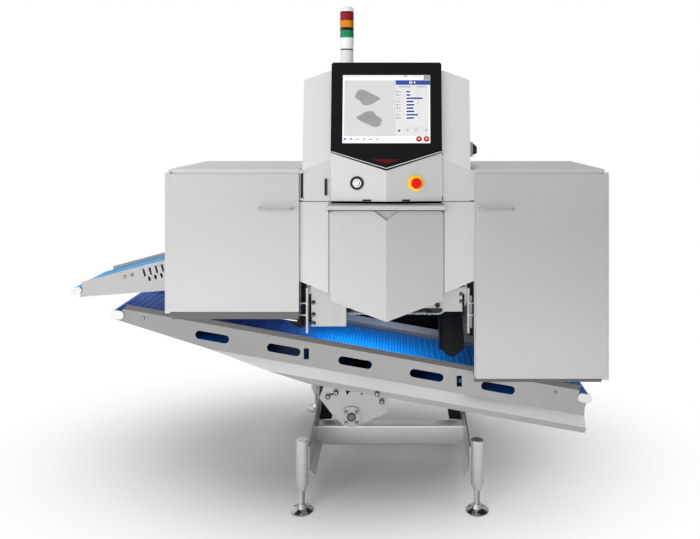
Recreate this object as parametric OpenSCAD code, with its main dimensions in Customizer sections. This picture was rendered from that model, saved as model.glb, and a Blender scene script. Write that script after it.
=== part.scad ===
// Inspection machine for food on a belt: a tilted display head between two hoods,
// an inspection belt through the head and a long sloping take-away belt below it.
// X runs along the belts, Y from front to back, Z up from the floor.

/* [Frame and feet] */
// Radius of a foot plate
foot_r = 44; // [40:1:50]
// Radius of the threaded foot rod
rod_r = 10; // [8:0.5:11]
// Radius of a leg tube
leg_r = 24.3; // [22:0.1:28]
// Height of a leg tube's lower end above the floor
leg_low_z = 102; // [96:1:112]
// Height of a leg tube's upper end above the floor
leg_top_z = 274; // [240:1:300]
// Depth place of the front feet
front_foot_y = 40; // [20:1:70]
// Depth place of the rear feet
rear_foot_y = 995; // [960:1:1030]
// Thickness of the side frame sheet
frame_t = 5; // [3:0.5:6]
// Height of the cross tubes
cross_h = 84; // [70:1:90]
// Depth of the cross tubes
cross_d = 60; // [50:1:70]
// Width of a black frame post
post_w = 54; // [40:1:60]

/* [Head] */
// How far the head's lower band stands out at each side
band_out = 14; // [8:1:18]
// Half width of the head's upper part
head_half = 322; // [300:1:328]
// Height of the seam between head and lower covers
seam_z = 1195; // [1180:1:1205]
// Height of the head's flat roof
head_top_z = 1698; // [1670:1:1715]
// Depth place of the head's back
head_back_y = 720; // [650:1:760]
// Wall of all folded covers
wall = 3; // [2:0.5:4]
// Gap beside the display bezel, within the control panel's width
bezel_in = 1; // [1:0.5:10]
// Height of the display bezel's top
bezel_top_z = 1727; // [1715:1:1740]
// Width of the screen
screen_w = 334; // [300:1:345]
// Height of the screen
screen_h = 260; // [230:1:270]
// Half width of the control panel and of the lower door
panel_half = 212; // [205:1:214]
// How far the folded ridge stands out
ridge_out = 22; // [10:1:30]

/* [Hoods] */
// Height of the hood roofs
hood_top_z = 1317; // [1305:1:1330]
// Outer side of the hoods
hood_out = 835; // [780:1:860]
// Depth place of the hoods' back
hood_back_y = 560; // [520:1:600]
// Thickness of a hood door
door_t = 17; // [12:1:18]
// Lower edge of the left hood door
left_door_z = 776.6; // [760:1:790]
// Lower edge of the right hood door
right_door_z = 522; // [510:1:540]

/* [Take-away conveyor] */
// Slope of the take-away conveyor in degrees
low_slope = 10.12; // [8:0.01:12]
// Height of its top edge at the head's centre line
low_top_z = 612.3; // [600:0.1:620]
// Height of its side plates, top edge to bottom edge
low_plate_h = 170; // [160:1:176]
// Width of the take-away belt
low_belt_w = 360; // [330:1:365]
// Thickness of the take-away belt
low_belt_t = 8; // [6:0.5:8]
// Thickness of its side plates
low_plate_t = 3; // [2:0.5:4]
// Width of an obround slot
slot_w = 34; // [28:1:40]
// Length of an obround slot
slot_l = 134; // [110:1:140]
// Radius of the drive shaft
low_shaft_r = 12; // [9:0.5:14]

/* [Inspection conveyor] */
// Slope of the infeed end in degrees
feed_slope = 15; // [13:0.1:16]
// Height of the level side plates' top edge
feed_top_z = 1021.8; // [1010:0.1:1030]
// Width of the inspection belt
feed_belt_w = 270; // [250:1:275]
// Thickness of the inspection belt
feed_belt_t = 6; // [5:0.5:7]
// Radius of the inspection belt's drive drum
drum_r = 36; // [30:1:40]

/* [Controls] */
// Radius of the emergency stop's yellow plate
estop_plate_r = 30; // [26:1:32]
// Radius of the emergency stop's red button
estop_r = 20; // [16:1:22]
// Travel of the emergency stop's button
estop_travel = 6; // [4:0.5:7]
// Radius of the key switch
key_r = 26; // [20:1:28]
// Radius of the signal tower
tower_r = 30; // [25:1:35]

/* [Cabinet] */
// Room between the take-away conveyor and the cabinet's front wall
cab_gap = 50; // [45:1:60]
// Depth of the cabinet, front wall to back opening
cab_depth = 390; // [350:1:410]
// Height of the cabinet's underside
cab_low_z = 430; // [410:1:440]

/* [Hidden] */
rod_x = [-1018, -989];
guard_bolt_z = [798, 752, 715];
nose_return = 21;
low_rise = 754;
end_cut = [5, 4, 32, 36];

// One overrun serves every cut
over = 1;
// Clearance of a shaft in its bore, and of a piece lying by its seat
fit = 0.05;
seat = 0.3;
belt_clear = 1.2;
fine = 64;

// Places along X of the feet and of the frame webs at the front, the bend and the rear
front_foot_x = [-326, 349];
rear_foot_x = [-387, 384];
bend_y = 385;
bend_x = [-306, 326];
web_low_z = 155;
web_front_z = 247;
web_rear_z = 295;
lip = 22;
cross_low_z = 119;
cross_front_y = 325;
post_d = 100;
post_lean = 38;
post_low_z = 160;
tube_t = 3;
plug_h = 28;
nut_r = 17;
foot_plate_t = 5;
foot_hub_r = 15;
foot_hub_z = 29;
foot_hole_r = 5.5;
foot_pcd_r = 31;
rod_top_z = 200;

// Widths that follow the head and the control panel, each with its own margin
roof_over = 10;
rail_over = 7;
hatch_edge = 10;
pull_in = 17;
door_in = [-3, 4];
band_half = head_half + band_out;
bezel_half = panel_half - bezel_in;
fold_in_x = panel_half + bezel_in;
roof_in_x = panel_half + roof_over;
rail_half = panel_half + rail_over;
hatch_out_x = band_half - hatch_edge;
hatch_in_x = panel_half + 2 * bezel_in;
hatch_pull_x = hatch_in_x + pull_in;
left_door_in = band_half + door_in[0];
right_door_in = band_half + door_in[1];

// Head: front plane, tilt, folds
face_y = 20;
tilt_out = 50;
fold_out_z = 1314;
fold_in_z = 1355;
shoulder_top_z = 1661;
shoulder_low_z = 890;
shoulder_in_z = 839.5;
shoulder_back_y = 60;
bezel_low_z = 1384;
bezel_tip_z = 1317;
bezel_t = 40;
bezel_proud = 42;
screen_low_z = 1418;
screen_t = 4;
window_half = 55;
window_h = 17;
window_z = 1358;
panel_y = 4;
hatch_gap = 1;
hatch_lug_z = [1203, 1303];
hatch_lug = 5;
hatch_pin_r = 3;
hatch_pull = [9, 64, 12];
hatch_pull_z = 1218;
door_top_z = 1189;
pocket_top_z = 1162;
door_corner_z = 817;
door_tip_z = 743;
door_back_y = 18;
pocket_half = 48;
pocket_tip_z = 1125;
rail_h = 23;
rail_low_z = 1165;
rail_proud = 54;
rail_d = 22;
rail_ear = 10;
door_pin_z = 830;
door_pin_r = 4;
source_size = [220, 300, 200];
source_low_z = 1240;
source_y = 120;
collimator_size = [120, 260, 30];
detector_size = [90, 262, 80];
detector_z = 890;
curtain_x = 322;
curtain_l = 145;
curtain_t = 3;
curtain_w = 262;
curtain_y = 79;
strip_count = 7;
strip_gap = 3;
rod_hang_r = 5;
rod_z = 1176;

// Hoods
sill_h = 33;
sill_step = 14;
frame_strip = 16;
door_over = 7;
door_front_y = 1;
door_top_gap = 16;
hinge_off = 3;
hinge_y = 6;
hinge_r = 4;
hinge_l = 20;
hinge_arm_t = 5;
hinge_arm_w = 16;
handle_r = 4.3;
handle_l = 125;
handle_x = 418;
handle_z = 1171;
handle_out = 34;
feed_gap_top_z = 1120;
feed_gap_y = [45, 470];
slide_t = 3;
slide_w = 300;

// Inspection conveyor, its plates, belt and rollers
feed_y = 60;
feed_plate_t = 3;
feed_nose_x = 1185;
feed_kink_x = 640;
feed_end_x = 396;
feed_end_z = 876;
feed_tip_z = 818;
feed_back_z = 859.6;
feed_low_z = 775;
feed_low_x = [320, 300];
belt_gap = 12;
belt_drop = 14;
feed_pitch = 25.4;
low_pitch = 25.4;
rib = 1.6;
nose_proud = 40;
feed_nose_size = [46, 26];
feed_slot_top = [8, 31];
feed_slot_low = [9, 19];
feed_slot_step = 23.6;
feed_slot_x = 942;
feed_slot_z = 913;
feed_screw_r = 7;
drum_x = 205;
drum_shaft_r = 10;
drum_shaft_l = 90;
nose_bar_r = 8.5;

// Carrier bars, guard plates and spout below the head
bar_x = [-310, 311];
bar_w = 8;
bar_d = 28;
bar_z = [686, 859];
pin_z = [752, 798];
pin_r = 3.5;
pin_l = 30;
guard_left = [-292, -157, 705, 900];
guard_right = [216, 293, 787, 900];
guard_t = 3;
guard_lip = 23;
spout_x = 207;
spout_w = 100;
spout_top = [240, 713];
spout_low = [90, 577];
spout_t = 8;
spout_tip = 34;

// Take-away conveyor in its own sloping frame: u along the belt, v square to it
low_y = 60;
flange_v = 23;
flange_out = 12;
web_v = 117;
jog = 32;
low_left_u = -1019;
low_right_u = 801;
low_gap = 7;
slot_v = -70;
slot_u = -676;
slot_step = 282;
window_u = [-304.4, 299];
low_window = [20.6, 43];
low_screw_u = [-952.5, 674.3];
low_screw_v = -44.4;
low_screw_r = 6;
belt_v = -42;
belt_return_v = -66;
snub_v = -136;
nose_u = [-1080, 814];
cap_t = 6;
cap_in = 12;
cap_size = [56, 33];
drive_u = -89.3;
post_back = 110;
cross_back = 20;
// The cabinet stands behind the take-away conveyor, on its posts
low_back_y = low_y + 2 * low_gap + low_belt_w + 2 * low_plate_t;
cab_front_y = low_back_y + cab_gap;
cab_back_y = cab_front_y + cab_depth;
post_front_y = cab_front_y;
post_rear_y = cab_back_y - post_back;
rear_cross_y = cab_back_y + cross_back;
drive_v = -265.1;
drive_wrap = 34;
snub_r = 26;
bed_h = 14;
bed_w = 16;
bed_count = 4;
tie_size = [20, 15];
drive_reach = 100;
drive_plate_t = 5;
bearing_r = 33;
bearing_t = 8;
hub_bearing_r = 20;
bolt_r = 6;
bolt_l = 8;
motor_l = 210;
gear_size = [130, 92, 120];
gear_gap = 6;
arm_size = [40, 30];
arm_u = [-255, 265];

// Signal tower, switches
tower_x = -182;
tower_y = 420;
tower_z = [1815, 1831, 1863, 1903, 1942, 1981, 2003];
estop_x = 111;
control_z = 1267;
key_x = -111;
iso_z = 1350;
iso_y = 340;
iso_size = [38, 70, 62];
iso_knob = [20, 14, 48];

// Cabinet
rear_door_edge = 14;
rear_door_t = 20;
rear_pin_r = 5;

// The whole stands centred over the floor origin
reach_left = 1229.5;
right_extra = 4;
reach_right = hood_out + door_over + right_extra;
reach_front = rail_proud;
reach_rear = rear_foot_y + foot_r;
mid_x = (reach_right - reach_left) / 2;
mid_y = (reach_rear - reach_front) / 2;

function scaled(shares, w, h) = [for (p = shares) [p[0] * w, p[1] * h]];

// Moves a piece from the head's centre line to the origin of the whole
module stand() {
  translate([-mid_x, -mid_y, 0]) children();
}
// Box between two opposite corners
module slab(a, b) {
  translate(a) cube(b - a);
}
// Outline in X and Z, thick along Y
module plate_y(points, y, t) {
  translate([0, y + t, 0]) rotate([90, 0, 0]) linear_extrude(t) polygon(points);
}
// Outline in Y and Z, long along X
module prism_x(points, x, l) {
  translate([x, 0, 0]) rotate([90, 0, 90]) linear_extrude(l) polygon(points);
}
// Round bar along Y
module bar_y(x, z, y, l, r) {
  translate([x, y + l, z]) rotate([90, 0, 0]) cylinder(r = r, h = l, $fn = fine);
}
// Round bar along X
module bar_x_at(x, y, z, l, r) {
  translate([x, y, z]) rotate([0, 90, 0]) cylinder(r = r, h = l, $fn = fine);
}
// Frame of the take-away conveyor
module low_frame() {
  translate([0, 0, low_top_z]) rotate([0, low_slope, 0]) children();
}
// Outline with round ends, thick along Y, centred on a place
module slot_y(x, z, l, w, y, t) {
  hole_l = l - w;
  slab([x - hole_l / 2, y, z - w / 2], [x + hole_l / 2, y + t, z + w / 2]);
  for (s = [-1, 1]) bar_y(x + s * hole_l / 2, z, y, t, w / 2);
}

// Belt loops: corner points with a bend radius each, run anticlockwise seen from the front
function unit(v) = v / norm(v);
function turn(a, b) = atan2(a[0] * b[1] - a[1] * b[0], a * b);
function heading(a) = atan2(a[1], a[0]);
function side_of(h) = [sin(h), -cos(h)];
function corner(p, i) =
  let (n = len(p), c = p[i], q = p[(i + n - 1) % n], s = p[(i + 1) % n],
       a = unit([c[0] - q[0], c[1] - q[1]]), b = unit([s[0] - c[0], s[1] - c[1]]),
       f = turn(a, b), back = c[2] * tan(abs(f) / 2))
  [[c[0], c[1]] - a * back, [c[0], c[1]] + b * back, heading(a), f, c[2]];
// Points of one side of the belt; d is how far it lies outside the centre line
function bend(k, d, pitch, high) =
  let (n = max(2, ceil(abs(k[3]) / 180 * PI * k[4] / pitch * 2)), s = sign(k[3]),
       o = k[0] - k[4] * s * side_of(k[2]))
  [for (j = [0 : n]) let (h = k[2] + k[3] * j / n) o + (k[4] * s + d) * side_of(h)];
function run(a, b, h, d, pitch, high) =
  let (l = norm(b - a), n = max(1, round(l / pitch)), w = (b - a) / n, s = side_of(h))
  high == 0 || l < pitch ? [] :
  [for (j = [0 : n - 1]) each [a + w * (j + 0.1) + s * d, a + w * (j + 0.16) + s * (d - high),
                               a + w * (j + 0.44) + s * (d - high), a + w * (j + 0.5) + s * d]];
function loop_side(p, d, pitch, high) =
  let (k = [for (i = [0 : len(p) - 1]) corner(p, i)])
  [for (i = [0 : len(p) - 1]) each concat(bend(k[i], d, pitch, high),
    run(k[i][1], k[(i + 1) % len(p)][0], k[i][2] + k[i][3], d, pitch, high))];
module belt_loop(p, t, pitch, y, w) {
  translate([0, y + w, 0]) rotate([90, 0, 0]) linear_extrude(w) difference() {
    polygon(loop_side(p, t / 2, pitch, rib));
    polygon(loop_side(p, -t / 2, pitch, 0));
  }
}

// Plan band of one side frame: straight past the front leg, splayed to the rear leg
function web_plan(i, s) =
  let (f = front_foot_x[i] - s * leg_r, b = bend_x[i], r = rear_foot_x[i] - s * leg_r)
  [[f, front_foot_y], [b, bend_y], [r, rear_foot_y],
   [r - s * frame_t, rear_foot_y], [b - s * frame_t, bend_y], [f - s * frame_t, front_foot_y]];
module side_frame(i, s) {
  color("silver") {
    intersection() {
      translate([0, 0, web_low_z]) linear_extrude(web_rear_z) polygon(web_plan(i, s));
      prism_x([[front_foot_y, web_low_z], [front_foot_y, web_front_z], [bend_y, web_rear_z],
               [rear_foot_y, web_rear_z], [rear_foot_y, web_low_z]], -hood_out, 2 * hood_out);
    }
    p = web_plan(i, s);
    difference() {
      for (j = [0, 1]) lip_run(p[j], p[j + 1], s);
      for (y = [cross_front_y, rear_cross_y])
        slab([-hood_out, y - frame_t, web_low_z - 2 * lip], [hood_out, y + cross_d + frame_t, web_low_z]);
    }
  }
}
// Lower edge of the web, folded inward at 45 degrees
module lip_run(a, b, s) {
  d = b - a;
  translate([a[0], a[1], web_low_z]) rotate([0, 0, -atan2(d[0], d[1])])
    translate([0, norm(d) - over, 0]) rotate([90, 0, 0]) linear_extrude(norm(d) - 2 * over)
      polygon([[-s * over, over], [-s * lip, -lip], [-s * (lip + frame_t), -lip], [-s * (frame_t - 2 * over), over]]);
}
module side_frames() {
  side_frame(0, -1);
  side_frame(1, 1);
}

function web_x(i, s, y) =
  let (p = web_plan(i, s), k = y < bend_y ? 0 : 1, a = p[5 - k], b = p[4 - k])
  a[0] + (b[0] - a[0]) * (y - a[1]) / (b[1] - a[1]);
// Rounded box tube between the two webs, its ends cut to the splay
module cross_tube(y) {
  l = web_x(0, -1, y);
  r = web_x(1, 1, y);
  l2 = web_x(0, -1, y + cross_d);
  r2 = web_x(1, 1, y + cross_d);
  e = frame_t + tube_t;
  color("silver") intersection() {
    translate([l2 - over, y, cross_low_z]) {
      for (c = [[0, e], [e, 0]])
        translate([0, c[1], c[0]])
          cube([r2 - l2 + 2 * over, cross_d - 2 * c[1], cross_h - 2 * c[0]]);
      for (c = [[e, e], [cross_d - e, e], [e, cross_h - e], [cross_d - e, cross_h - e]])
        bar_x_at(0, c[0], c[1], r2 - l2 + 2 * over, e);
    }
    linear_extrude(web_rear_z) polygon([[l, y], [r, y], [r2, y + cross_d], [l2, y + cross_d]]);
  }
}
module cross_tubes() {
  for (y = [cross_front_y, rear_cross_y]) cross_tube(y);
}

// Four black posts lean inward from the webs to the cabinet
module frame_posts() {
  color([0.07, 0.07, 0.08]) for (y = [post_front_y, post_rear_y], i = [0, 1]) {
    s = i == 0 ? -1 : 1;
    x = web_x(i, s, y);
    plate_y([[x, post_low_z], [x - s * post_lean, cab_low_z],
             [x - s * (post_lean + post_w), cab_low_z], [x - s * post_w, post_low_z]], y, post_d);
  }
}

function feet() = [for (i = [0, 1]) each [[front_foot_x[i], front_foot_y], [rear_foot_x[i], rear_foot_y]]];
module leg_tubes() {
  lock_nuts();
  color("silver") for (p = feet()) translate([p[0], p[1], leg_low_z]) difference() {
    union() {
      cylinder(r = leg_r, h = leg_top_z - leg_low_z - tube_t, $fn = fine);
      translate([0, 0, leg_top_z - leg_low_z - tube_t]) cylinder(r = leg_r - tube_t, h = tube_t, $fn = fine);
    }
    translate([0, 0, plug_h])
      cylinder(r = leg_r - tube_t, h = leg_top_z - leg_low_z - plug_h - 2 * tube_t, $fn = fine);
    translate([0, 0, -over]) cylinder(r = rod_r + fit, h = plug_h + 2 * over, $fn = fine);
  }
}
// Hexagon lock nuts below the leg tubes
module lock_nuts() {
  nut_h = nut_r * 1.1;
  color("dimgray") for (p = feet()) translate([p[0], p[1], leg_low_z - nut_h]) difference() {
    cylinder(r = nut_r, h = nut_h, $fn = 6);
    translate([0, 0, -over]) cylinder(r = rod_r + fit, h = nut_h + 2 * over, $fn = fine);
  }
}
// Foot: a plate with three holes, a coned hub and the rod
module foot(x, y) {
  color("gainsboro") translate([x, y, 0]) difference() {
    rotate_extrude($fn = fine) polygon([[0, 0], [foot_r, 0], [foot_r, foot_plate_t],
      [foot_hub_r + foot_plate_t, foot_hub_z * 0.45], [foot_hub_r, foot_hub_z], [rod_r, foot_hub_z],
      [rod_r, rod_top_z], [0, rod_top_z]]);
    for (a = [30, 150, 270]) rotate([0, 0, a]) translate([foot_pcd_r, 0, -over])
      cylinder(r = foot_hole_r, h = foot_hub_z, $fn = fine);
  }
}
module foot_front_left() { foot(front_foot_x[0], front_foot_y); }
module foot_front_right() { foot(front_foot_x[1], front_foot_y); }
module foot_rear_left() { foot(rear_foot_x[0], rear_foot_y); }
module foot_rear_right() { foot(rear_foot_x[1], rear_foot_y); }

// Cabinet behind the belts, open at the back for its door
module cabinet_shell() {
  e = rear_door_edge;
  color("lightgray") difference() {
    slab([-head_half, cab_front_y, cab_low_z], [head_half, cab_back_y, seam_z]);
    slab([-head_half + wall, cab_front_y + wall, cab_low_z + wall],
         [head_half - wall, cab_back_y - wall, seam_z - wall]);
    slab([-head_half + 2 * e, cab_back_y - 2 * wall, cab_low_z + 2 * e],
         [head_half - 2 * e, cab_back_y + over, seam_z - 2 * e]);
  }
  color("silver") for (z = [cab_low_z + 4 * e, seam_z - 5 * e]) difference() {
    slab([-head_half - e, cab_back_y - e, z], [-head_half, cab_back_y + rear_door_t, z + e]);
    translate([-head_half - e / 2, cab_back_y + rear_door_t / 2, z - over])
      cylinder(r = rear_pin_r + fit, h = e + 2 * over, $fn = fine);
  }
}
function gear_axis() = [drive_u * cos(low_slope) + drive_v * sin(low_slope),
                        low_top_z - drive_u * sin(low_slope) + drive_v * cos(low_slope)];
// Rear door with a folded edge, hinge pins on its left and two turn locks
module rear_door() {
  e = rear_door_edge;
  color("lightgray") {
    difference() {
      slab([-head_half + seat, cab_back_y + seat, cab_low_z + seat],
           [head_half - seat, cab_back_y + rear_door_t, seam_z - seat]);
      slab([-head_half + e, cab_back_y - over, cab_low_z + e],
           [head_half - e, cab_back_y + rear_door_t - wall, seam_z - e]);
      for (z = [cab_low_z + 4 * e, seam_z - 5 * e])
        slab([-head_half, cab_back_y - over, z - seat], [-head_half + 1.5 * e, cab_back_y + rear_door_t + over, z + e + seat]);
      for (k = [0 : strip_count]) slot_y(0, cab_low_z + 5 * e + k * 2 * e, head_half, e / 2,
        cab_back_y, rear_door_t + over);
    }
    for (z = [cab_low_z + 4 * e, seam_z - 5 * e]) {
      translate([-head_half - e / 2, cab_back_y + rear_door_t / 2, z - e])
        cylinder(r = rear_pin_r, h = 2 * e + seat, $fn = fine);
      slab([-head_half - e / 2, cab_back_y + rear_door_t / 2 - wall, z - e],
           [-head_half + e, cab_back_y + rear_door_t / 2 + wall, z - seat]);
    }
  }
  color("dimgray") for (z = [cab_low_z + 8 * e, seam_z - 8 * e])
    bar_y(head_half - 3 * e, z + 4 * e, cab_back_y + rear_door_t, e, e);
}
// Mounting plate with drives, power supply and terminals
module electrical_backplate() {
  y = cab_front_y + 3 * rear_door_edge;
  e = rear_door_edge;
  color("goldenrod") slab([-head_half + 3 * e, y, cab_low_z + 3 * e], [head_half - 3 * e, y + wall, seam_z - 3 * e]);
  for (x = [-head_half + 5 * e, head_half - 5 * e], z = [cab_low_z + 5 * e, seam_z - 5 * e])
    bar_y(x, z, cab_front_y + wall, y - cab_front_y - wall, e / 2);
  color("dimgray") for (i = [0 : 2])
    slab([-head_half + (5 + 10 * i) * e, y + wall, cab_low_z + 10 * e],
         [-head_half + (13 + 10 * i) * e, y + 10 * e, cab_low_z + 22 * e]);
  color("lightgray") slab([-head_half + 5 * e, y + wall, cab_low_z + 28 * e], [head_half - 8 * e, y + 6 * e, cab_low_z + 36 * e]);
}
// Head outline seen from the front, a gap smaller all round
function head_front(g) = [[-head_half + g, seam_z + g], [head_half - g, seam_z + g],
  [head_half - g, shoulder_top_z], [roof_in_x, head_top_z - g], [-roof_in_x, head_top_z - g],
  [-head_half + g, shoulder_top_z]];
// Head outline seen from the side: upright to the fold, then leaning back
function head_side(g) = [[face_y + g, seam_z + g], [face_y + g, fold_out_z],
  [face_y + tilt_out + g, head_top_z], [head_back_y - g, head_top_z],
  [head_back_y - g, seam_z + g]];
function lean() = atan(tilt_out / (head_top_z - fold_out_z));
module head_shell() {
  color("gainsboro") difference() {
    union() {
      intersection() {
        plate_y(head_front(0), face_y, head_back_y);
        prism_x(head_side(0), -head_half, 2 * head_half);
      }
      slab([-band_half, face_y, seam_z + wall], [band_half, hood_back_y, fold_out_z]);
    }
    intersection() {
      plate_y(head_front(wall), face_y, head_back_y);
      prism_x(head_side(wall), -head_half, 2 * head_half);
    }
    slab([-band_half + wall, face_y + wall, seam_z + 2 * wall], [band_half - wall, hood_back_y - wall, fold_out_z - wall]);
    slab([-panel_half + 4 * wall, face_y - over, seam_z + 4 * wall],
         [panel_half - 4 * wall, face_y + 2 * tilt_out, bezel_top_z - 12 * wall]);
    slab([-hatch_out_x + 2 * wall, face_y - over, seam_z + 4 * wall], [-hatch_in_x - 2 * wall, face_y + 2 * wall, fold_out_z - 4 * wall]);
    slab([-collimator_size[0] / 2, source_y, seam_z - over], [collimator_size[0] / 2, source_y + collimator_size[1], seam_z + 3 * wall]);
    translate([tower_x, tower_y, head_top_z - 2 * wall]) cylinder(r = tower_r * 0.6, h = 4 * wall, $fn = fine);
  }
  // Upright wedges under the slanted folds, and the hatch's two hinge lugs
  color("gainsboro") {
    for (s = [-1, 1]) plate_y([[s * head_half, fold_out_z], [s * fold_in_x, fold_out_z], [s * fold_in_x, fold_in_z]], face_y, 3 * wall);
    for (z = [hatch_lug_z[0], hatch_lug_z[1]]) {
      slab([hatch_axis()[0] - hatch_lug, hatch_axis()[1] - hatch_lug, z], [hatch_axis()[0] + hatch_lug, face_y + over, z + hatch_lug]);
      translate([hatch_axis()[0], hatch_axis()[1], z - (z == hatch_lug_z[1] ? 2 * hatch_lug : 0)])
        cylinder(r = hatch_pin_r - over, h = 3 * hatch_lug, $fn = fine);
    }
  }
}
function hatch_axis() = [-hatch_out_x + hatch_pin_r, face_y - hatch_pin_r - wall - seat];
// Covers beside the lower door, with their slanted lower edges
module lower_shoulders() {
  color("gainsboro") for (s = [-1, 1]) {
    plate_y([[s * band_half, seam_z], [s * band_half, shoulder_low_z], [s * fold_in_x, shoulder_in_z],
             [s * fold_in_x, seam_z]], face_y, wall);
    slab([s > 0 ? band_half - wall : -band_half, face_y, shoulder_low_z],
         [s > 0 ? band_half : -band_half + wall, shoulder_back_y, seam_z]);
    slab([s > 0 ? fold_in_x : -fold_in_x - wall, face_y, shoulder_in_z],
         [s > 0 ? fold_in_x + wall : -fold_in_x, feed_y - guard_t - seat, seam_z]);
    slab([s > 0 ? fold_in_x : -band_half, face_y, seam_z - wall],
         [s > 0 ? band_half : -fold_in_x, shoulder_back_y, seam_z]);
    // Ears that carry the lower door's pivots
    difference() {
      slab([s > 0 ? fold_in_x : -fold_in_x - wall, door_back_y - wall - 2 * door_pin_r, door_pin_z - 2 * door_pin_r],
           [s > 0 ? fold_in_x + wall : -fold_in_x, face_y + 2 * door_pin_r, door_pin_z + 3 * door_pin_r]);
      bar_x_at(s > 0 ? fold_in_x - over : -fold_in_x - wall - over, door_back_y - wall, door_pin_z, wall + 2 * over, door_pin_r + fit);
    }
  }
}
// A folded panel: flat halves either side of a ridge that stands out
module ridged(low, high, tip_low, tip_high, y, back) {
  for (s = [-1, 1]) intersection() {
    plate_y([[0, tip_low], [s * panel_half, low], [s * panel_half, high], [0, tip_high]],
            y - 2 * ridge_out, back - y + 3 * ridge_out);
    linear_extrude(bezel_top_z)
      polygon([[0, y - ridge_out], [s * panel_half, y], [s * panel_half, back],
               [s * (panel_half - wall), back], [s * (panel_half - wall), y + wall], [0, y + wall - ridge_out]]);
  }
}
// Turns something that faces the viewer onto one half of the folded panel
module on_fold(x, z, s) {
  a = atan(ridge_out / panel_half);
  translate([x, panel_y - ridge_out * (1 - abs(x) / panel_half), z]) rotate([0, 0, s * a]) children();
}
module control_panel() {
  color("gainsboro") difference() {
    ridged(seam_z + wall, bezel_low_z - wall, seam_z + wall, bezel_tip_z - wall, panel_y, face_y);
    for (c = [[estop_x, 1], [key_x, -1]])
      on_fold(c[0], control_z, c[1]) bar_y(0, 0, -ridge_out, 3 * ridge_out, estop_r * 0.6 + fit);
  }
}
// Display housing: chamfered V at its lower edge, leaning back with the head
module leaning() {
  translate([0, face_y - bezel_proud, fold_out_z]) rotate([-lean(), 0, 0]) translate([0, 0, -fold_out_z]) children();
}
function stretch(z) = fold_out_z + (z - fold_out_z) / cos(lean());
module display_bezel() {
  color([0.02, 0.02, 0.025]) leaning() difference() {
    e = wall * 2;
    plate_y([[0, bezel_tip_z], [bezel_half - e, bezel_low_z - e / 3], [bezel_half, bezel_low_z + e],
             [bezel_half, stretch(bezel_top_z) - e], [bezel_half - e, stretch(bezel_top_z)],
             [-bezel_half + e, stretch(bezel_top_z)], [-bezel_half, stretch(bezel_top_z) - e],
             [-bezel_half, bezel_low_z + e], [-bezel_half + e, bezel_low_z - e / 3]], 0, bezel_t);
    slab([-screen_w / 2 - seat, -over, stretch(screen_low_z) - seat],
         [screen_w / 2 + seat, screen_t, stretch(screen_low_z + screen_h) + seat]);
    plate_y(window_outline(seat), -over, over + wall / 2);
  }
}
function window_outline(g) = [[-window_half - 3 * g, window_z + g], [0, window_z - window_h - g], [window_half + 3 * g, window_z + g]];
module screen_glass() {
  color([0.75, 0.78, 0.82]) leaning()
    slab([-screen_w / 2, seat, stretch(screen_low_z)], [screen_w / 2, screen_t, stretch(screen_low_z + screen_h)]);
}
module status_window() {
  color("firebrick") leaning() plate_y(window_outline(0), 0, wall / 2);
}
// Hatch on the left shoulder, with its upright pull
module service_hatch() {
  color("gainsboro") difference() {
    union() {
      slab([-hatch_out_x + hatch_pin_r, face_y - wall - seat, seam_z + 2 * wall],
           [-hatch_in_x - hatch_gap, face_y - seat, fold_out_z - wall]);
      slab([-hatch_pull_x - hatch_pull[0] / 2, face_y - wall - hatch_pull[2], hatch_pull_z],
           [-hatch_pull_x + hatch_pull[0] / 2, face_y - wall - seat, hatch_pull_z + hatch_pull[1]]);
      translate([hatch_axis()[0], hatch_axis()[1], hatch_lug_z[0] + hatch_lug + seat])
        cylinder(r = hatch_pin_r + wall / 2, h = hatch_lug_z[1] - hatch_lug_z[0] - hatch_lug - 2 * seat, $fn = fine);
    }
    translate([hatch_axis()[0], hatch_axis()[1], seam_z]) cylinder(r = hatch_pin_r - over + fit, h = fold_out_z - seam_z, $fn = fine);
    for (z = [hatch_lug_z[0] - seat, hatch_lug_z[1] - seat])
      slab([-hatch_out_x - over, face_y - 3 * wall, z - wall], [hatch_axis()[0] + hatch_lug + 2 * over, face_y, z + hatch_lug + 2 * seat + wall]);
    slab([-hatch_pull_x - hatch_pull[0] / 2 - over, face_y - wall - hatch_pull[2] * 0.6, hatch_pull_z + hatch_pull[0]],
         [-hatch_pull_x + hatch_pull[0] / 2 + over, face_y - wall - seat, hatch_pull_z + hatch_pull[1] - hatch_pull[0]]);
  }
}
// Lower door: a ridged panel with a V at its foot and a grip pocket under the rail
module lower_door() {
  y = panel_y;
  color("gainsboro") difference() {
    union() {
      ridged(door_corner_z, door_top_z, door_tip_z, door_top_z, y, door_back_y);
      for (s = [-1, 1]) slab([s > 0 ? panel_half - 3 * rail_ear : -panel_half + seat, door_back_y - 2 * wall, door_pin_z - rail_ear],
                             [s > 0 ? panel_half - seat : -panel_half + 3 * rail_ear, door_back_y, door_pin_z + rail_ear]);
      plate_y(pocket_outline(wall), y - ridge_out + 2 * wall, ridge_out);
    }
    plate_y(pocket_outline(0), y - 3 * ridge_out, 3 * ridge_out);
  }
  color("silver") for (s = [-1, 1])
    bar_x_at(s > 0 ? panel_half - rail_ear : -panel_half - 2 * wall + seat, door_back_y - wall, door_pin_z,
             rail_ear + 2 * wall - seat, door_pin_r);
}
function pocket_outline(g) = [[-pocket_half - 2 * g, pocket_top_z + g], [0, pocket_tip_z - 2 * g], [pocket_half + 2 * g, pocket_top_z + g]];
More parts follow.
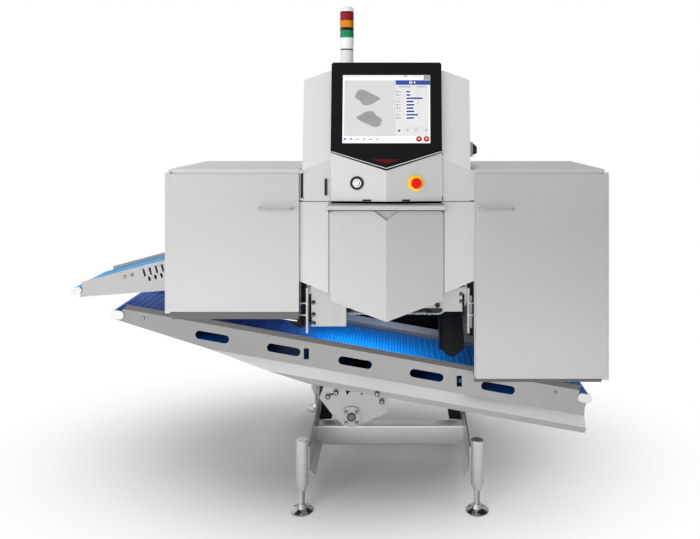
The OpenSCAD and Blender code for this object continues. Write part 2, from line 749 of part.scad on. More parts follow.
// Full-width pull rail above the lower door, on two triangular ears
module door_rail() {
  r = rail_h / 2;
  color("silver") {
    for (z = [rail_low_z, rail_low_z + rail_h - wall])
      slab([-rail_half, -rail_proud + r, z], [rail_half, -rail_proud + r + rail_d, z + wall]);
    difference() {
      bar_x_at(-rail_half, -rail_proud + r, rail_low_z + r, 2 * rail_half, r);
      bar_x_at(-rail_half - over, -rail_proud + r, rail_low_z + r, 2 * rail_half + 2 * over, r - wall);
      slab([-rail_half - over, -rail_proud + r, rail_low_z - over], [rail_half + over, 0, rail_low_z + rail_h + over]);
    }
    for (s = [-1, 1]) prism_x([[-rail_proud + r, rail_low_z + rail_h], [door_back_y, rail_low_z + rail_h],
        [door_back_y, rail_low_z - rail_ear], [-rail_proud + 2 * rail_d, rail_low_z - rail_ear], [-rail_proud + r, rail_low_z]],
        s > 0 ? panel_half : -rail_half, rail_half - panel_half);
  }
}
module xray_source() {
  e = rear_door_edge;
  c = source_y + source_size[1] / 2;
  color("slategray") {
    slab([-source_size[0] / 2, source_y, source_low_z], [source_size[0] / 2, source_y + source_size[1], source_low_z + source_size[2]]);
    for (s = [-1, 1]) slab([s > 0 ? source_size[0] / 2 : -source_size[0] / 2 - e, c - 3 * e, seam_z + wall],
                           [s > 0 ? source_size[0] / 2 + e : -source_size[0] / 2, c + 3 * e, source_low_z + 3 * e]);
    translate([0, c, source_low_z + source_size[2]]) cylinder(r = 3 * e, h = 2 * e, $fn = fine);
  }
}
module collimator() {
  color("dimgray") difference() {
    slab([-collimator_size[0] / 2 + seat, source_y + seat, seam_z - collimator_size[2] / 2],
         [collimator_size[0] / 2 - seat, source_y + collimator_size[1] - seat, source_low_z]);
    slab([-over, source_y + rear_door_edge, seam_z - collimator_size[2]], [over, source_y + collimator_size[1] - rear_door_edge, source_low_z + over]);
  }
}
module detector_box() {
  y = feed_y + feed_plate_t;
  color("slategray") slab([-detector_size[0] / 2, y, detector_z],
    [detector_size[0] / 2, y + feed_belt_w + 2 * belt_gap, detector_z + detector_size[2]]);
}
// Shielding strips hang from one band and swing together
module curtain(x) {
  pitch = curtain_w / strip_count;
  color([0.12, 0.13, 0.15]) {
    difference() {
      translate([x, curtain_y + curtain_w, rod_z]) rotate([90, 0, 0]) cylinder(r = rod_hang_r + curtain_t, h = curtain_w, $fn = fine);
      translate([x, curtain_y + curtain_w + over, rod_z]) rotate([90, 0, 0]) cylinder(r = rod_hang_r + fit, h = curtain_w + 2 * over, $fn = fine);
    }
    for (i = [0 : strip_count - 1])
      slab([x - curtain_t / 2, curtain_y + i * pitch, rod_z - curtain_l], [x + curtain_t / 2, curtain_y + (i + 1) * pitch - strip_gap, rod_z - rod_hang_r - curtain_t / 2]);
  }
}
module tunnel_curtain_left() { curtain(-curtain_x + 2 * rear_door_edge); }
module tunnel_curtain_right() { curtain(curtain_x - 2 * rear_door_edge); }
module curtain_rods() {
  color("silver") for (s = [-1, 1]) {
    x = s * (curtain_x - 2 * rear_door_edge);
    bar_y(x, rod_z, curtain_y - 2 * rail_ear, curtain_w + 4 * rail_ear, rod_hang_r);
    for (y = [curtain_y - rail_ear - wall, curtain_y + curtain_w + rail_ear])
      slab([x - rod_hang_r, y, rod_z], [x + rod_hang_r, y + wall, seam_z]);
  }
}

// Hoods: roof, back, outer side and a frame round the door; open towards the head and below
module hood(s, low, door_in, notch) {
  x1 = s * hood_out;
  x0 = s * band_half;
  lo = min(x0, x1);
  hi = max(x0, x1);
  color("silver") difference() {
    union() {
      difference() {
        slab([lo, face_y, low], [hi, hood_back_y, hood_top_z]);
        slab([lo + (s < 0 ? wall : -over), face_y - over, low - over],
             [hi - (s > 0 ? wall : -over), hood_back_y - wall, hood_top_z - wall]);
      }
      for (x = [lo, hi - frame_strip]) slab([x, face_y, low], [x + frame_strip, face_y + wall, hood_top_z]);
      slab([lo, face_y, hood_top_z - door_top_gap], [hi, face_y + wall, hood_top_z]);
      slab([lo, face_y, low], [hi, face_y + wall, low + sill_h + seat]);
    }
    // Slanted ends of the sill and the rounded front edge of the roof
    plate_y([[x1 + s * over, low - over], [x1 - s * sill_step, low - over], [x1 + s * over, low + sill_h * 0.9]],
            face_y - over, hood_back_y);
    slab([lo - over, face_y - over, hood_top_z - wall], [hi + over, face_y + wall, hood_top_z + over]);
    if (notch) slab([-hood_out - over, feed_gap_y[0], low - over], [-hood_out + 2 * wall, feed_gap_y[1], feed_gap_top_z]);
  }
  color("silver") difference() {
    bar_x_at(lo, face_y + wall, hood_top_z - wall, hi - lo, wall);
    slab([lo - over, face_y + wall, hood_top_z - 3 * wall], [hi + over, face_y + 3 * wall, hood_top_z - wall]);
  }
}
module hood_left() { hood(-1, left_door_z - sill_h, left_door_in, true); }
module hood_right() { hood(1, right_door_z - sill_h + sill_step, right_door_in, false); }

// Hood door: a shallow folded tray with pivot bores at its outer corners
module hood_door(s, low, inner, high) {
  outer = hood_out + door_over + (s > 0 ? right_extra : 0);
  lo = min(s * outer, s * inner);
  hi = max(s * outer, s * inner);
  x = s * (outer - hinge_off);
  b = 2 * hinge_r + wall;
  color("gainsboro") difference() {
    slab([lo, door_front_y, low], [hi, door_front_y + door_t, high]);
    slab([lo + b, door_front_y + wall, low + b], [hi - b, door_front_y + door_t + over, high - b]);
    for (z = [low - over, high - hinge_l])
      translate([x, hinge_y, z]) cylinder(r = hinge_r / 2 + fit, h = hinge_l + over, $fn = fine);
  }
}
module hood_door_left() { hood_door(-1, left_door_z, left_door_in, hood_top_z - door_top_gap); }
module hood_door_right() { hood_door(1, right_door_z, right_door_in, hood_top_z - door_top_gap); }
// Arms with a pin above and below each hood door
module hood_hinges() {
  color("dimgray") for (s = [-1, 1]) {
    outer = hood_out + door_over + (s > 0 ? right_extra : 0);
    x = s * (outer - hinge_off);
    low = s < 0 ? left_door_z : right_door_z;
    high = hood_top_z - door_top_gap;
    a = s > 0 ? x - hinge_arm_w : x - hinge_off;
    for (z = [low - seat - hinge_arm_t, high + seat]) slab([a, door_front_y, z], [a + hinge_arm_w + hinge_off, face_y, z + hinge_arm_t]);
    for (z = [low - seat - over, high - hinge_l + 2 * over])
      translate([x, hinge_y, z]) cylinder(r = hinge_r / 2, h = hinge_l - over, $fn = fine);
  }
}
// Bent-wire pulls, one on each hood door
module wire_pull(s) {
  x0 = s * handle_x;
  translate([0, 0, handle_z]) {
    bar_x_at(x0 - handle_l / 2 + handle_r * 2, -handle_out, 0, handle_l - 4 * handle_r, handle_r);
    for (e = [-1, 1]) translate([x0 + e * (handle_l / 2 - 2 * handle_r), -handle_out + 2 * handle_r, 0]) {
      rotate([0, 0, e > 0 ? -90 : 180]) rotate_extrude(angle = 90, $fn = fine) translate([2 * handle_r, 0]) circle(r = handle_r, $fn = fine / 2);
      translate([e * 2 * handle_r, 0, 0]) rotate([-90, 0, 0]) cylinder(r = handle_r, h = handle_out - 2 * handle_r + door_front_y, $fn = fine);
    }
  }
}
module handle_left() { color("silver") wire_pull(-1); }
module handle_right() { color("silver") wire_pull(1); }
// Sheet slide from the inspection belt down to the take-away belt
module outfeed_slide() {
  e = hood_out - feed_end_x;
  y = feed_y + belt_gap;
  x0 = feed_end_x + nose_proud;
  p = [[x0, feed_top_z - 3 * belt_drop], [x0 + e * 0.18, feed_top_z - e * 0.28], [x0 + e * 0.42, feed_top_z - e * 1.1]];
  m = (p[1] + p[2]) / 2;
  color("gainsboro") {
    plate_y([p[0], p[1], p[2], [p[2][0] - slide_t, p[2][1]], [p[1][0] - slide_t * 1.2, p[1][1]], [p[0][0] - slide_t * 1.2, p[0][1]]], y, slide_w);
    for (q = [p[1], m])
      slab([q[0] - 2 * frame_strip, y + slide_w - frame_strip, q[1]], [q[0], hood_back_y - wall, q[1] + slide_t]);
  }
}

// Inspection conveyor: side plates with vent slots, bent from sloping to level
function feed_k() = tan(feed_slope);
module feed_side_plates() {
  y2 = feed_y + feed_plate_t + feed_belt_w + 2 * belt_gap;
  pts = [[-feed_nose_x, feed_end_z], [-feed_kink_x, feed_top_z], [feed_end_x, feed_top_z],
         [feed_end_x, feed_top_z - nose_proud], [feed_low_x[1], feed_low_z], [-feed_low_x[0], feed_low_z],
         [-feed_kink_x, feed_back_z], [-feed_nose_x - belt_gap, feed_tip_z], [-feed_nose_x, feed_tip_z + belt_gap]];
  color("silver") for (y = [feed_y, y2]) difference() {
    plate_y(pts, y, feed_plate_t);
    for (i = [0 : 3]) translate([-feed_slot_x + i * feed_slot_step, y - over, feed_slot_z + i * feed_slot_step * feed_k()])
      rotate([0, -feed_slope, 0]) rotate([0, 90, 0]) slot_y(0, 0, feed_slot_top[1], feed_slot_top[0], 0, 3 * feed_plate_t);
    for (i = [0 : 2]) translate([-feed_slot_x + (i + 0.85) * feed_slot_step, y - over, feed_slot_z - feed_slot_step + i * feed_slot_step * feed_k()])
      rotate([0, -feed_slope, 0]) rotate([0, 90, 0]) slot_y(0, 0, feed_slot_low[1], feed_slot_low[0], 0, 3 * feed_plate_t);
    bar_y(drum_place()[0], drum_place()[1], y - over, 3 * feed_plate_t, drum_shaft_r + fit);
  }
  // Tie bars between the plates, brackets to the cabinet and the hood's back, cap screws in front
  color("silver") for (p = [[-feed_kink_x * 1.5, 3.2 * feed_slot_step], [-feed_low_x[0] * 1.2, 0], [feed_low_x[1] * 0.7, 0]]) {
    z = feed_top_z - 2 * nose_proud - p[1];
    bar_y(p[0], z, feed_y + feed_plate_t, feed_belt_w + 2 * belt_gap, feed_screw_r);
  }
  color("silver") for (x = [-feed_low_x[0] * 0.8, feed_low_x[1] * 0.7])
    slab([x, y2 + feed_plate_t, feed_low_z + nose_proud], [x + nose_proud, cab_front_y, feed_low_z + 2 * nose_proud]);
  color("silver") slab([-feed_kink_x, y2 + feed_plate_t, feed_top_z - 3 * nose_proud],
    [-feed_kink_x + nose_proud, hood_back_y - wall, feed_top_z - 2 * nose_proud]);
  color("dimgray") for (x = rod_x) {
    z = feed_end_z - 2 * belt_gap + (x + feed_nose_x) * feed_k();
    bar_y(x, z, feed_y - feed_plate_t, feed_plate_t, feed_screw_r);
  }
}
function centre_of(k) = k[0] - k[4] * sign(k[3]) * side_of(k[2]);
function drum_place() = centre_of(corner(feed_route(), 6));
function feed_route() =
  let (c = feed_top_z - belt_drop - feed_belt_t / 2, k = feed_k(), x = -feed_nose_x - nose_proud,
       z = c + (x + feed_kink_x) * k, low = feed_low_z - 2 * belt_gap - feed_belt_t / 2)
  [[feed_end_x + belt_gap, c, belt_gap], [-feed_kink_x, c, 10 * belt_gap],
   [x, z, nose_bar_r + feed_belt_t / 2 - over], [x + nose_return * sin(feed_slope), z - nose_return * cos(feed_slope), nose_bar_r],
   [-feed_kink_x, feed_back_z + 1.5 * belt_gap, 4 * belt_gap], [-0.8 * feed_low_x[0], low, 4 * belt_gap],
   [drum_x + drum_r * 0.3, low, drum_r + feed_belt_t / 2], [feed_end_x + belt_gap, c - 2 * belt_gap, belt_gap]];
module feed_belt() {
  color("deepskyblue") belt_loop(feed_route(), feed_belt_t, feed_pitch, feed_y + feed_plate_t + belt_gap, feed_belt_w);
}
// White nose blocks: a bar inside each end of the belt, with a cap beside it
module feed_noses() {
  r = feed_route();
  w = feed_belt_w + 2 * belt_gap;
  a = r[2];
  b = r[3];
  color("white") {
    translate([(a[0] + b[0]) / 2, 0, (a[1] + b[1]) / 2]) rotate([0, -feed_slope, 0]) {
      bar_y(belt_gap, 0, feed_y, w + 2 * feed_plate_t, nose_bar_r - 2 * over - belt_clear);
      for (y = [feed_y - 2 * feed_plate_t, feed_y + 2 * feed_plate_t + w])
        translate([-over, 0, 0]) slot_y(feed_nose_size[0] / 2 - belt_gap / 2, 0, feed_nose_size[0], feed_nose_size[1], y, 2 * feed_plate_t);
    }
    bar_y(feed_end_x, r[0][1] - belt_gap, feed_y + feed_plate_t, w, belt_gap - feed_belt_t / 2 - belt_clear);
  }
}
module feed_drum() {
  y = feed_y + feed_plate_t;
  p = drum_place();
  color("dimgray") {
    bar_y(p[0], p[1], y + belt_gap, feed_belt_w, drum_r - belt_clear);
    bar_y(p[0], p[1], feed_y - belt_gap / 2, feed_belt_w + drum_shaft_l, drum_shaft_r);
  }
}
// Upright bars in front of the inspection conveyor, with their stand-off pins
module carrier_bars() {
  color("gainsboro") for (i = [0, 1]) {
    slab([bar_x[i], feed_y - bar_d, bar_z[0]], [bar_x[i] + bar_w, feed_y, bar_z[1]]);
    for (z = pin_z) bar_x_at(i == 0 ? bar_x[0] - pin_l : bar_x[1] + bar_w, feed_y - bar_d / 2, z, pin_l, pin_r);
    slab([i == 0 ? bar_x[0] : bar_x[1] - bar_d, feed_y - wall, bar_z[1] - bar_d],
         [i == 0 ? bar_x[0] + bar_w + bar_d : bar_x[1] + bar_w, feed_y, bar_z[1]]);
  }
}
// Guard plates left and right of the lower door's V
module guard_plates() {
  carrier_bars();
  color("gainsboro") {
    difference() {
      slab([guard_left[0], feed_y - guard_t, guard_left[2]], [guard_left[1], feed_y, guard_left[3]]);
      for (i = [0 : 2]) plate_y([[guard_left[0] - over, guard_left[2] + (2 + 3.6 * i) * guard_t],
        [guard_left[0] + 2 * guard_t, guard_left[2] + (4 + 3.6 * i) * guard_t],
        [guard_left[0] - over, guard_left[2] + (6 + 3.6 * i) * guard_t]], feed_y - 2 * guard_t, 3 * guard_t);
    }
    slab([guard_right[0], feed_y - guard_t, guard_right[2]], [guard_right[1], feed_y, guard_right[3]]);
    prism_x([[feed_y - guard_t, guard_right[2] + guard_t], [feed_y, guard_right[2] + guard_t],
             [feed_y - 2 * guard_t, guard_right[2] - guard_lip], [feed_y - 3 * guard_t, guard_right[2] - guard_lip]],
            guard_right[0], guard_right[1] - guard_right[0]);
    for (z = guard_bolt_z) bar_y(guard_left[0] + 3 * guard_t, z, feed_y - 2 * guard_t - over, guard_t + over, pin_r);
  }
}
// Black spout that leads scraps forward onto the take-away belt
module drop_spout() {
  d = [spout_top[0] - spout_low[0], spout_top[1] - spout_low[1]];
  color([0.05, 0.05, 0.055]) translate([spout_x, spout_low[0], spout_low[1]]) rotate([atan2(d[1], d[0]), 0, 0]) {
    linear_extrude(spout_t) polygon([[spout_w * 0.4, 0], [spout_w * 0.6, 0], [spout_w, spout_tip], [spout_w, norm(d)],
                                     [0, norm(d)], [0, spout_tip]]);
    for (x = [over, spout_w - wall - over]) translate([x, spout_tip + wall, over]) cube([wall, norm(d) - spout_tip - 2 * wall, 3 * spout_t]);
    translate([spout_w / 2 - wall, norm(d) - spout_tip, -spout_t]) cube([2 * wall, spout_tip, spout_t]);
  }
  color("dimgray") slab([spout_x + spout_w / 2 - 2 * wall, spout_top[0] - 4 * wall, spout_top[1] - 5 * wall],
    [spout_x + spout_w / 2 + 2 * wall, cab_front_y, spout_top[1] + wall]);
}

// Take-away conveyor: folded side plate, flared top, jogged lower band, cut to its outline
module low_plate(front) {
  s = front ? 1 : -1;
  y = front ? low_y : low_back_y;
  l = low_right_u - low_left_u + 2 * nose_proud;
  t = low_plate_t;
  difference() {
    low_frame() intersection() {
      translate([low_left_u - nose_proud, 0, 0]) rotate([90, 0, 90]) linear_extrude(l)
        polygon([for (p = [[-flange_out, 0], [0, -flange_v], [0, -web_v], [-jog, -web_v - jog], [-jog, -low_plate_h],
          [-jog + t, -low_plate_h], [-jog + t, -web_v - jog + t / 2], [t, -web_v + t / 2], [t, -flange_v - t / 4], [-flange_out + t, 0]])
          [y + s * p[0], p[1]]]);
      plate_y(low_outline(), low_y - 2 * jog, low_belt_w + 5 * jog);
    }
    low_frame() {
      for (i = [0 : 4]) slot_y(slot_u + i * slot_step, slot_v, slot_l, slot_w, y - 2 * t, 4 * t);
    }
    if (front) for (p = drive_bolts()) bar_y(p[0], p[1], y - jog - over, t + 2 * over, bolt_r + fit);
    if (front) for (u = window_u) low_frame() translate([u, y - 2 * t, slot_v]) rotate([0, -low_slope, 0])
      translate([-low_window[0] / 2, 0, -low_window[1] / 2]) cube([low_window[0], 4 * t, low_window[1]]);
  }
}
function low_outline() = [[low_left_u, over], [low_left_u - belt_gap, -flange_v * 0.7], [low_left_u - belt_gap * 1.4, -flange_v],
  [nose_u[0] + feed_slot_low[1], -slot_w * 2], [low_left_u + low_rise, -low_plate_h - over], [low_right_u + over, -low_plate_h - over],
  [low_right_u + end_cut[0], -low_plate_h + feed_slot_low[0]], [low_right_u - end_cut[1], -low_plate_h / 2], [low_right_u, -low_plate_h * 0.37],
  [low_right_u - end_cut[2], -low_plate_h * 0.3], [low_right_u - end_cut[3], -flange_v], [low_right_u - end_cut[3], over]];
module low_front_plate() {
  color("silver") low_plate(true);
  color("dimgray") low_frame() for (u = low_screw_u) bar_y(u, low_screw_v, low_y - low_plate_t, low_plate_t, low_screw_r);
}
module low_rear_plate() {
  y = low_back_y;
  color("silver") {
    low_plate(false);
    low_frame() for (u = arm_u)
      slab([u - arm_size[0] / 2, y - over, slot_v - arm_size[1] / 2], [u + arm_size[0] / 2, cab_front_y, slot_v + arm_size[1] / 2]);
  }
}
function low_route() =
  let (r = (belt_v - belt_return_v) / 2, w = drive_wrap, q = snub_r + low_belt_t / 2)
  [[nose_u[1], belt_v, r], [nose_u[0], belt_v, r], [nose_u[0], belt_return_v, r],
   [drive_u - w, snub_v, q], [drive_u - w, drive_v - w, w], [drive_u + w, drive_v - w, w],
   [drive_u + w, snub_v, q], [nose_u[1], belt_return_v, r]];
module low_belt() {
  color("dodgerblue") low_frame()
    belt_loop(low_route(), low_belt_t, low_pitch, low_y + low_plate_t + low_gap, low_belt_w);
}
// White nose bars inside the belt's ends, with a rounded cap at each side
module low_noses() {
  w = low_belt_w + 2 * low_gap;
  r = (belt_v - belt_return_v) / 2;
  v = (belt_v + belt_return_v) / 2;
  color("white") low_frame() for (e = [[nose_u[0] + r, 1], [nose_u[1] - r, -1]]) {
    bar_y(e[0], v, low_y, w + 2 * low_plate_t, r - low_belt_t / 2 - belt_clear);
    for (y = [low_y - cap_t, low_y + 2 * low_plate_t + w])
      slot_y(e[0] + e[1] * cap_in, v + cap_t, cap_size[0], cap_size[1], y, cap_t);
  }
}
module nose_bars() {
  feed_noses();
  low_noses();
}
// Wear strips under the belt on square ties between the side plates
module low_bed() {
  w = low_belt_w + 2 * low_gap;
  top = belt_v - low_belt_t / 2 - seat;
  y = low_y + low_plate_t;
  low_frame() {
    color("white") for (i = [0 : bed_count - 1])
      slab([nose_u[0] + 2 * nose_proud, y + (i + 0.5) * w / bed_count - bed_w / 2, top - bed_h],
           [nose_u[1] - 2 * nose_proud, y + (i + 0.5) * w / bed_count + bed_w / 2, top]);
    color("silver") for (i = [0 : 4]) translate([slot_u + (i + 0.5) * slot_step - slot_l * 0.1, y, top - bed_h - tie_size[1]])
      cube([tie_size[0], w, tie_size[1]]);
  }
}
// Drive plates: V-shaped with a round foot about the drive shaft
module low_drive_plates() {
  a = gear_axis();
  shares = [[-1.235, 0.70], [-0.775, 0.11], [-0.505, -0.16], [-0.3, -0.34], [-0.12, -0.415], [0.05, -0.415], [0.25, -0.34],
            [0.585, -0.20], [1.345, 0.14], [1.455, 0.69], [1.3, 0.935], [-1.0, 1.345]];
  pts = [for (p = scaled(shares, drive_reach, drive_reach)) [a[0] + p[0], a[1] + p[1]]];
  y1 = low_y - jog + low_plate_t;
  y2 = low_back_y + jog - low_plate_t - drive_plate_t;
  color("silver") for (y = [y1, y2]) difference() {
    plate_y(pts, y, drive_plate_t);
    bar_y(a[0], a[1], y - over, 3 * drive_plate_t, hub_bearing_r + fit);
    for (i = [3, 6]) low_frame() translate([snub_place(i)[0], 0, snub_place(i)[1]])
      bar_y(0, 0, y - over, 3 * drive_plate_t, low_shaft_r / 2 + fit);
    for (x = [-0.12, 0.43]) plate_y([[a[0] + (x - 0.14) * drive_reach, a[1] + 1.08 * drive_reach],
      [a[0] + (x + 0.14) * drive_reach, a[1] + 1.05 * drive_reach], [a[0] + (x - 0.05) * drive_reach, a[1] + 0.8 * drive_reach]],
      y - over, 3 * drive_plate_t);
    for (p = [[-0.75, 0.85], [1.1, 0.78]]) slot_y(a[0] + p[0] * drive_reach, a[1] + p[1] * drive_reach, 2 * bolt_l, bolt_r, y - over, 3 * drive_plate_t);
  }
  color("dimgray") for (p = drive_bolts()) bar_y(p[0], p[1], y1 - bolt_l, bolt_l, bolt_r);
}
function drive_bolts() = [for (p = [[-0.6, 0.93], [-0.91, 0.77], [0.985, 0.885], [1.165, 0.58]]) gear_axis() + drive_reach * p];
// Flanged bearing housings outside the drive plates, each with four screws
module low_bearings() {
  a = gear_axis();
  y1 = low_y - jog + low_plate_t;
  y2 = low_back_y + jog - low_plate_t;
  color("gainsboro") for (f = [[y1 - bearing_t, y1], [y2, y2 - drive_plate_t]]) difference() {
    union() {
      intersection() {
        bar_y(a[0], a[1], f[0], bearing_t, bearing_r * 1.2);
        slab([a[0] - bearing_r, f[0], a[1] - bearing_r * 1.15], [a[0] + bearing_r, f[0] + bearing_t, a[1] + bearing_r * 1.15]);
      }
      bar_y(a[0], a[1], f[1], drive_plate_t, hub_bearing_r);
      for (x = [-0.62, 0.62], z = [-0.62, 0.62])
        bar_y(a[0] + x * bearing_r, a[1] + z * bearing_r, f[0] == y2 ? f[0] + bearing_t : f[0] - wall, wall, bolt_r * 0.8);
    }
    bar_y(a[0], a[1], f[0] - 2 * drive_plate_t, bearing_t + 4 * drive_plate_t, low_shaft_r + fit);
    slab([a[0] - wall, f[0] - over, a[1] - bearing_r * 1.3], [a[0] + wall, f[0] + bearing_t + over, a[1] - bearing_r * 0.75]);
  }
}
// Drive shaft with its toothed rollers under the belt
module low_drive_shaft() {
  a = gear_axis();
  y = low_y + low_plate_t + low_gap;
  r = drive_wrap - low_belt_t / 2 - belt_clear;
  color("silver") bar_y(a[0], a[1], low_y - jog - bearing_t, low_belt_w + 4 * jog + gear_size[1], low_shaft_r);
  color("white") for (i = [0 : 4]) translate([a[0], y + (i + 0.8) * low_belt_w / 5, a[1]]) rotate([90, 0, 0])
    difference() {
      cylinder(r = r, h = low_belt_w / 9, $fn = fine);
      for (k = [0 : 7]) rotate([0, 0, k * 45]) translate([r, 0, -over]) cylinder(r = low_belt_t / 2, h = low_belt_w / 4, $fn = 16);
    }
}
// Snub rollers press the belt round the drive, one either side
function snub_place(i) = centre_of(corner(low_route(), i));
module snub(i) {
  y = low_y + low_plate_t;
  w = low_belt_w + 2 * low_gap;
  color("dimgray") low_frame() translate([snub_place(i)[0], 0, snub_place(i)[1]]) {
    bar_y(0, 0, y + low_gap, low_belt_w, snub_r - belt_clear - over);
    bar_y(0, 0, y - jog + seat, w + 2 * jog - 2 * seat, low_shaft_r / 2);
  }
}
module snub_roller_left() { snub(3); }
module snub_roller_right() { snub(6); }
// Right-angle gear unit on the shaft's rear end, with its motor lying along the belt
module low_gearmotor() {
  a = gear_axis();
  y = low_back_y + jog - low_plate_t + bearing_t + gear_gap;
  e = rear_door_edge;
  color("slategray") {
    difference() {
      slab([a[0] - gear_size[0] / 2, y, a[1] - gear_size[2] / 2], [a[0] + gear_size[0] / 2, y + gear_size[1], a[1] + gear_size[2] / 2]);
      bar_y(a[0], a[1], y - over, gear_size[1] + 2 * over, low_shaft_r + fit);
    }
    bar_x_at(a[0] + gear_size[0] / 2, y + gear_size[1] / 2, a[1], motor_l, gear_size[1] / 2 - e / 2);
    for (i = [1 : 6]) bar_x_at(a[0] + gear_size[0] / 2 + i * 2 * e, y + gear_size[1] / 2, a[1], e / 2, gear_size[1] / 2);
    slab([a[0] - e, y - gear_gap - bearing_t, a[1] + bearing_r * 1.3], [a[0] + e, y, a[1] + gear_size[2] / 2]);
  }
}

// Signal tower: pole and base, three lamps, domed cap
module tower_at(z, h, r) {
  translate([tower_x, tower_y, z]) cylinder(r = r, h = h, $fn = fine);
}
module signal_tower() {
  t = tower_z;
  color("gainsboro") {
    tower_at(head_top_z, t[0] - head_top_z, tower_r * 0.95);
    tower_at(head_top_z, wall, tower_r * 1.4);
    tower_at(t[0], t[1] - t[0], tower_r * 0.9);
    tower_at(t[1], t[2] - t[1], tower_r);
    translate([tower_x, tower_y, t[5]]) rotate_extrude($fn = fine)
      polygon([[0, 0], [tower_r, 0], [tower_r, (t[6] - t[5]) * 0.5], [tower_r * 0.86, (t[6] - t[5]) * 0.85],
               [tower_r * 0.5, t[6] - t[5]], [0, t[6] - t[5]]]);
  }
}
module lamp(i, c) {
  color(c) {
    tower_at(tower_z[i], tower_z[i + 1] - tower_z[i] - wall, tower_r);
    tower_at(tower_z[i + 1] - wall, wall, tower_r * 0.93);
  }
}
module lamp_green() { lamp(2, "seagreen"); }
module lamp_amber() { lamp(3, "orange"); }
module lamp_red() { lamp(4, "darkred"); }

// Emergency stop: yellow plate with its collar through the panel, red button with a stem
module estop_plate() {
  c = estop_r * 0.6;
  color("gold") on_fold(estop_x, control_z, 1) difference() {
    union() {
      bar_y(0, 0, -2 * wall, 2 * wall, estop_plate_r);
      bar_y(0, 0, -4 * wall, 2 * wall, estop_r * 0.8);
      bar_y(0, 0, 0, 6 * wall, c);
    }
    bar_y(0, 0, -5 * wall, 12 * wall, c / 2 + fit);
  }
}
module estop_button() {
  h = 3 * wall;
  color("red") on_fold(estop_x, control_z, 1) {
    translate([0, -4 * wall - estop_travel - seat, 0]) rotate([90, 0, 0]) rotate_extrude($fn = fine)
      polygon([[0, 0], [estop_r, 0], [estop_r, h * 0.55], [estop_r * 0.93, h * 0.85], [estop_r * 0.75, h], [0, h * 1.1]]);
    bar_y(0, 0, -4 * wall - estop_travel - seat, 8 * wall, estop_r * 0.3);
  }
}
// Key switch: black ring in the panel, plug that turns a quarter
module key_ring() {
  c = estop_r * 0.6;
  color([0.06, 0.06, 0.07]) on_fold(key_x, control_z, -1) difference() {
    union() {
      bar_y(0, 0, -2 * wall, 2 * wall, key_r);
      bar_y(0, 0, -3 * wall, wall, key_r * 0.72);
      bar_y(0, 0, 0, 6 * wall, c);
    }
    bar_y(0, 0, -4 * wall, 14 * wall, c * 0.75 + fit);
  }
}
module key_plug() {
  c = estop_r * 0.6;
  color("silver") on_fold(key_x, control_z, -1) difference() {
    bar_y(0, 0, -3.4 * wall, 7 * wall, c * 0.75);
    slab([-wall / 3, -4 * wall, -c * 0.4], [wall / 3, -2 * wall, c * 0.4]);
  }
}
// Isolator on the head's right side: base box and a tapered turning knob
module isolator_base() {
  s = iso_size;
  color("gainsboro") difference() {
    slab([head_half, iso_y - s[1] / 2, iso_z], [head_half + s[0], iso_y + s[1] / 2, iso_z + s[2]]);
    bar_x_at(head_half + wall, iso_y, iso_z + s[2] / 2, s[0], iso_knob[1] / 2 + fit);
  }
}
module isolator_knob() {
  s = iso_size;
  k = iso_knob;
  x = head_half + s[0] + seat;
  color([0.06, 0.06, 0.07]) {
    bar_x_at(head_half + wall + seat, iso_y, iso_z + s[2] / 2, s[0] + wall, k[1] / 2);
    bar_x_at(x, iso_y, iso_z + s[2] / 2, wall * 2, k[2] / 2);
    translate([x + 2 * wall, iso_y, iso_z + s[2] / 2]) rotate([90, 0, 0]) translate([0, 0, -k[1] / 2]) linear_extrude(k[1])
      polygon([[0, -k[2] / 2], [k[0] - 2 * wall, -k[2] * 0.36], [k[0] - 2 * wall, k[2] * 0.2], [0, k[2] / 2]]);
  }
}

stand() side_frames();
stand() cross_tubes();
stand() frame_posts();
stand() leg_tubes();
stand() foot_front_left();
stand() foot_front_right();
stand() foot_rear_left();
stand() foot_rear_right();
stand() cabinet_shell();
stand() rear_door();
stand() electrical_backplate();
stand() head_shell();
stand() lower_shoulders();
stand() control_panel();
stand() display_bezel();
stand() screen_glass();
stand() status_window();
stand() service_hatch();
stand() lower_door();
stand() door_rail();
stand() xray_source();
stand() collimator();
stand() detector_box();
stand() tunnel_curtain_left();
stand() tunnel_curtain_right();
stand() curtain_rods();
stand() hood_left();
stand() hood_right();
stand() hood_door_left();
stand() hood_door_right();
stand() hood_hinges();
stand() handle_left();
stand() handle_right();
stand() outfeed_slide();
stand() feed_side_plates();
stand() feed_belt();
stand() feed_drum();
stand() guard_plates();
stand() drop_spout();
stand() low_front_plate();
stand() low_rear_plate();
stand() low_belt();
stand() nose_bars();
stand() low_bed();
stand() low_drive_plates();
stand() low_bearings();
stand() low_drive_shaft();
stand() snub_roller_left();
stand() snub_roller_right();
stand() low_gearmotor();
stand() signal_tower();
stand() lamp_green();
stand() lamp_amber();
stand() lamp_red();
stand() estop_plate();
stand() estop_button();
stand() key_ring();
stand() key_plug();
stand() isolator_base();
stand() isolator_knob();
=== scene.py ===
# %% [markdown]
# A food inspection machine: a stainless head between two hoods, an inspection belt
# that runs through the head and a long sloping take-away belt below it. The packed
# model brings every rigid piece at its real size. This lesson gives each of them its
# finish and adds what is too thin or too small for the model.

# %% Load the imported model
from math import copysign, cos, pi, radians, sin, tau

import bmesh
import bpy
from mathutils import Matrix, Vector
from mathutils.bvhtree import BVHTree


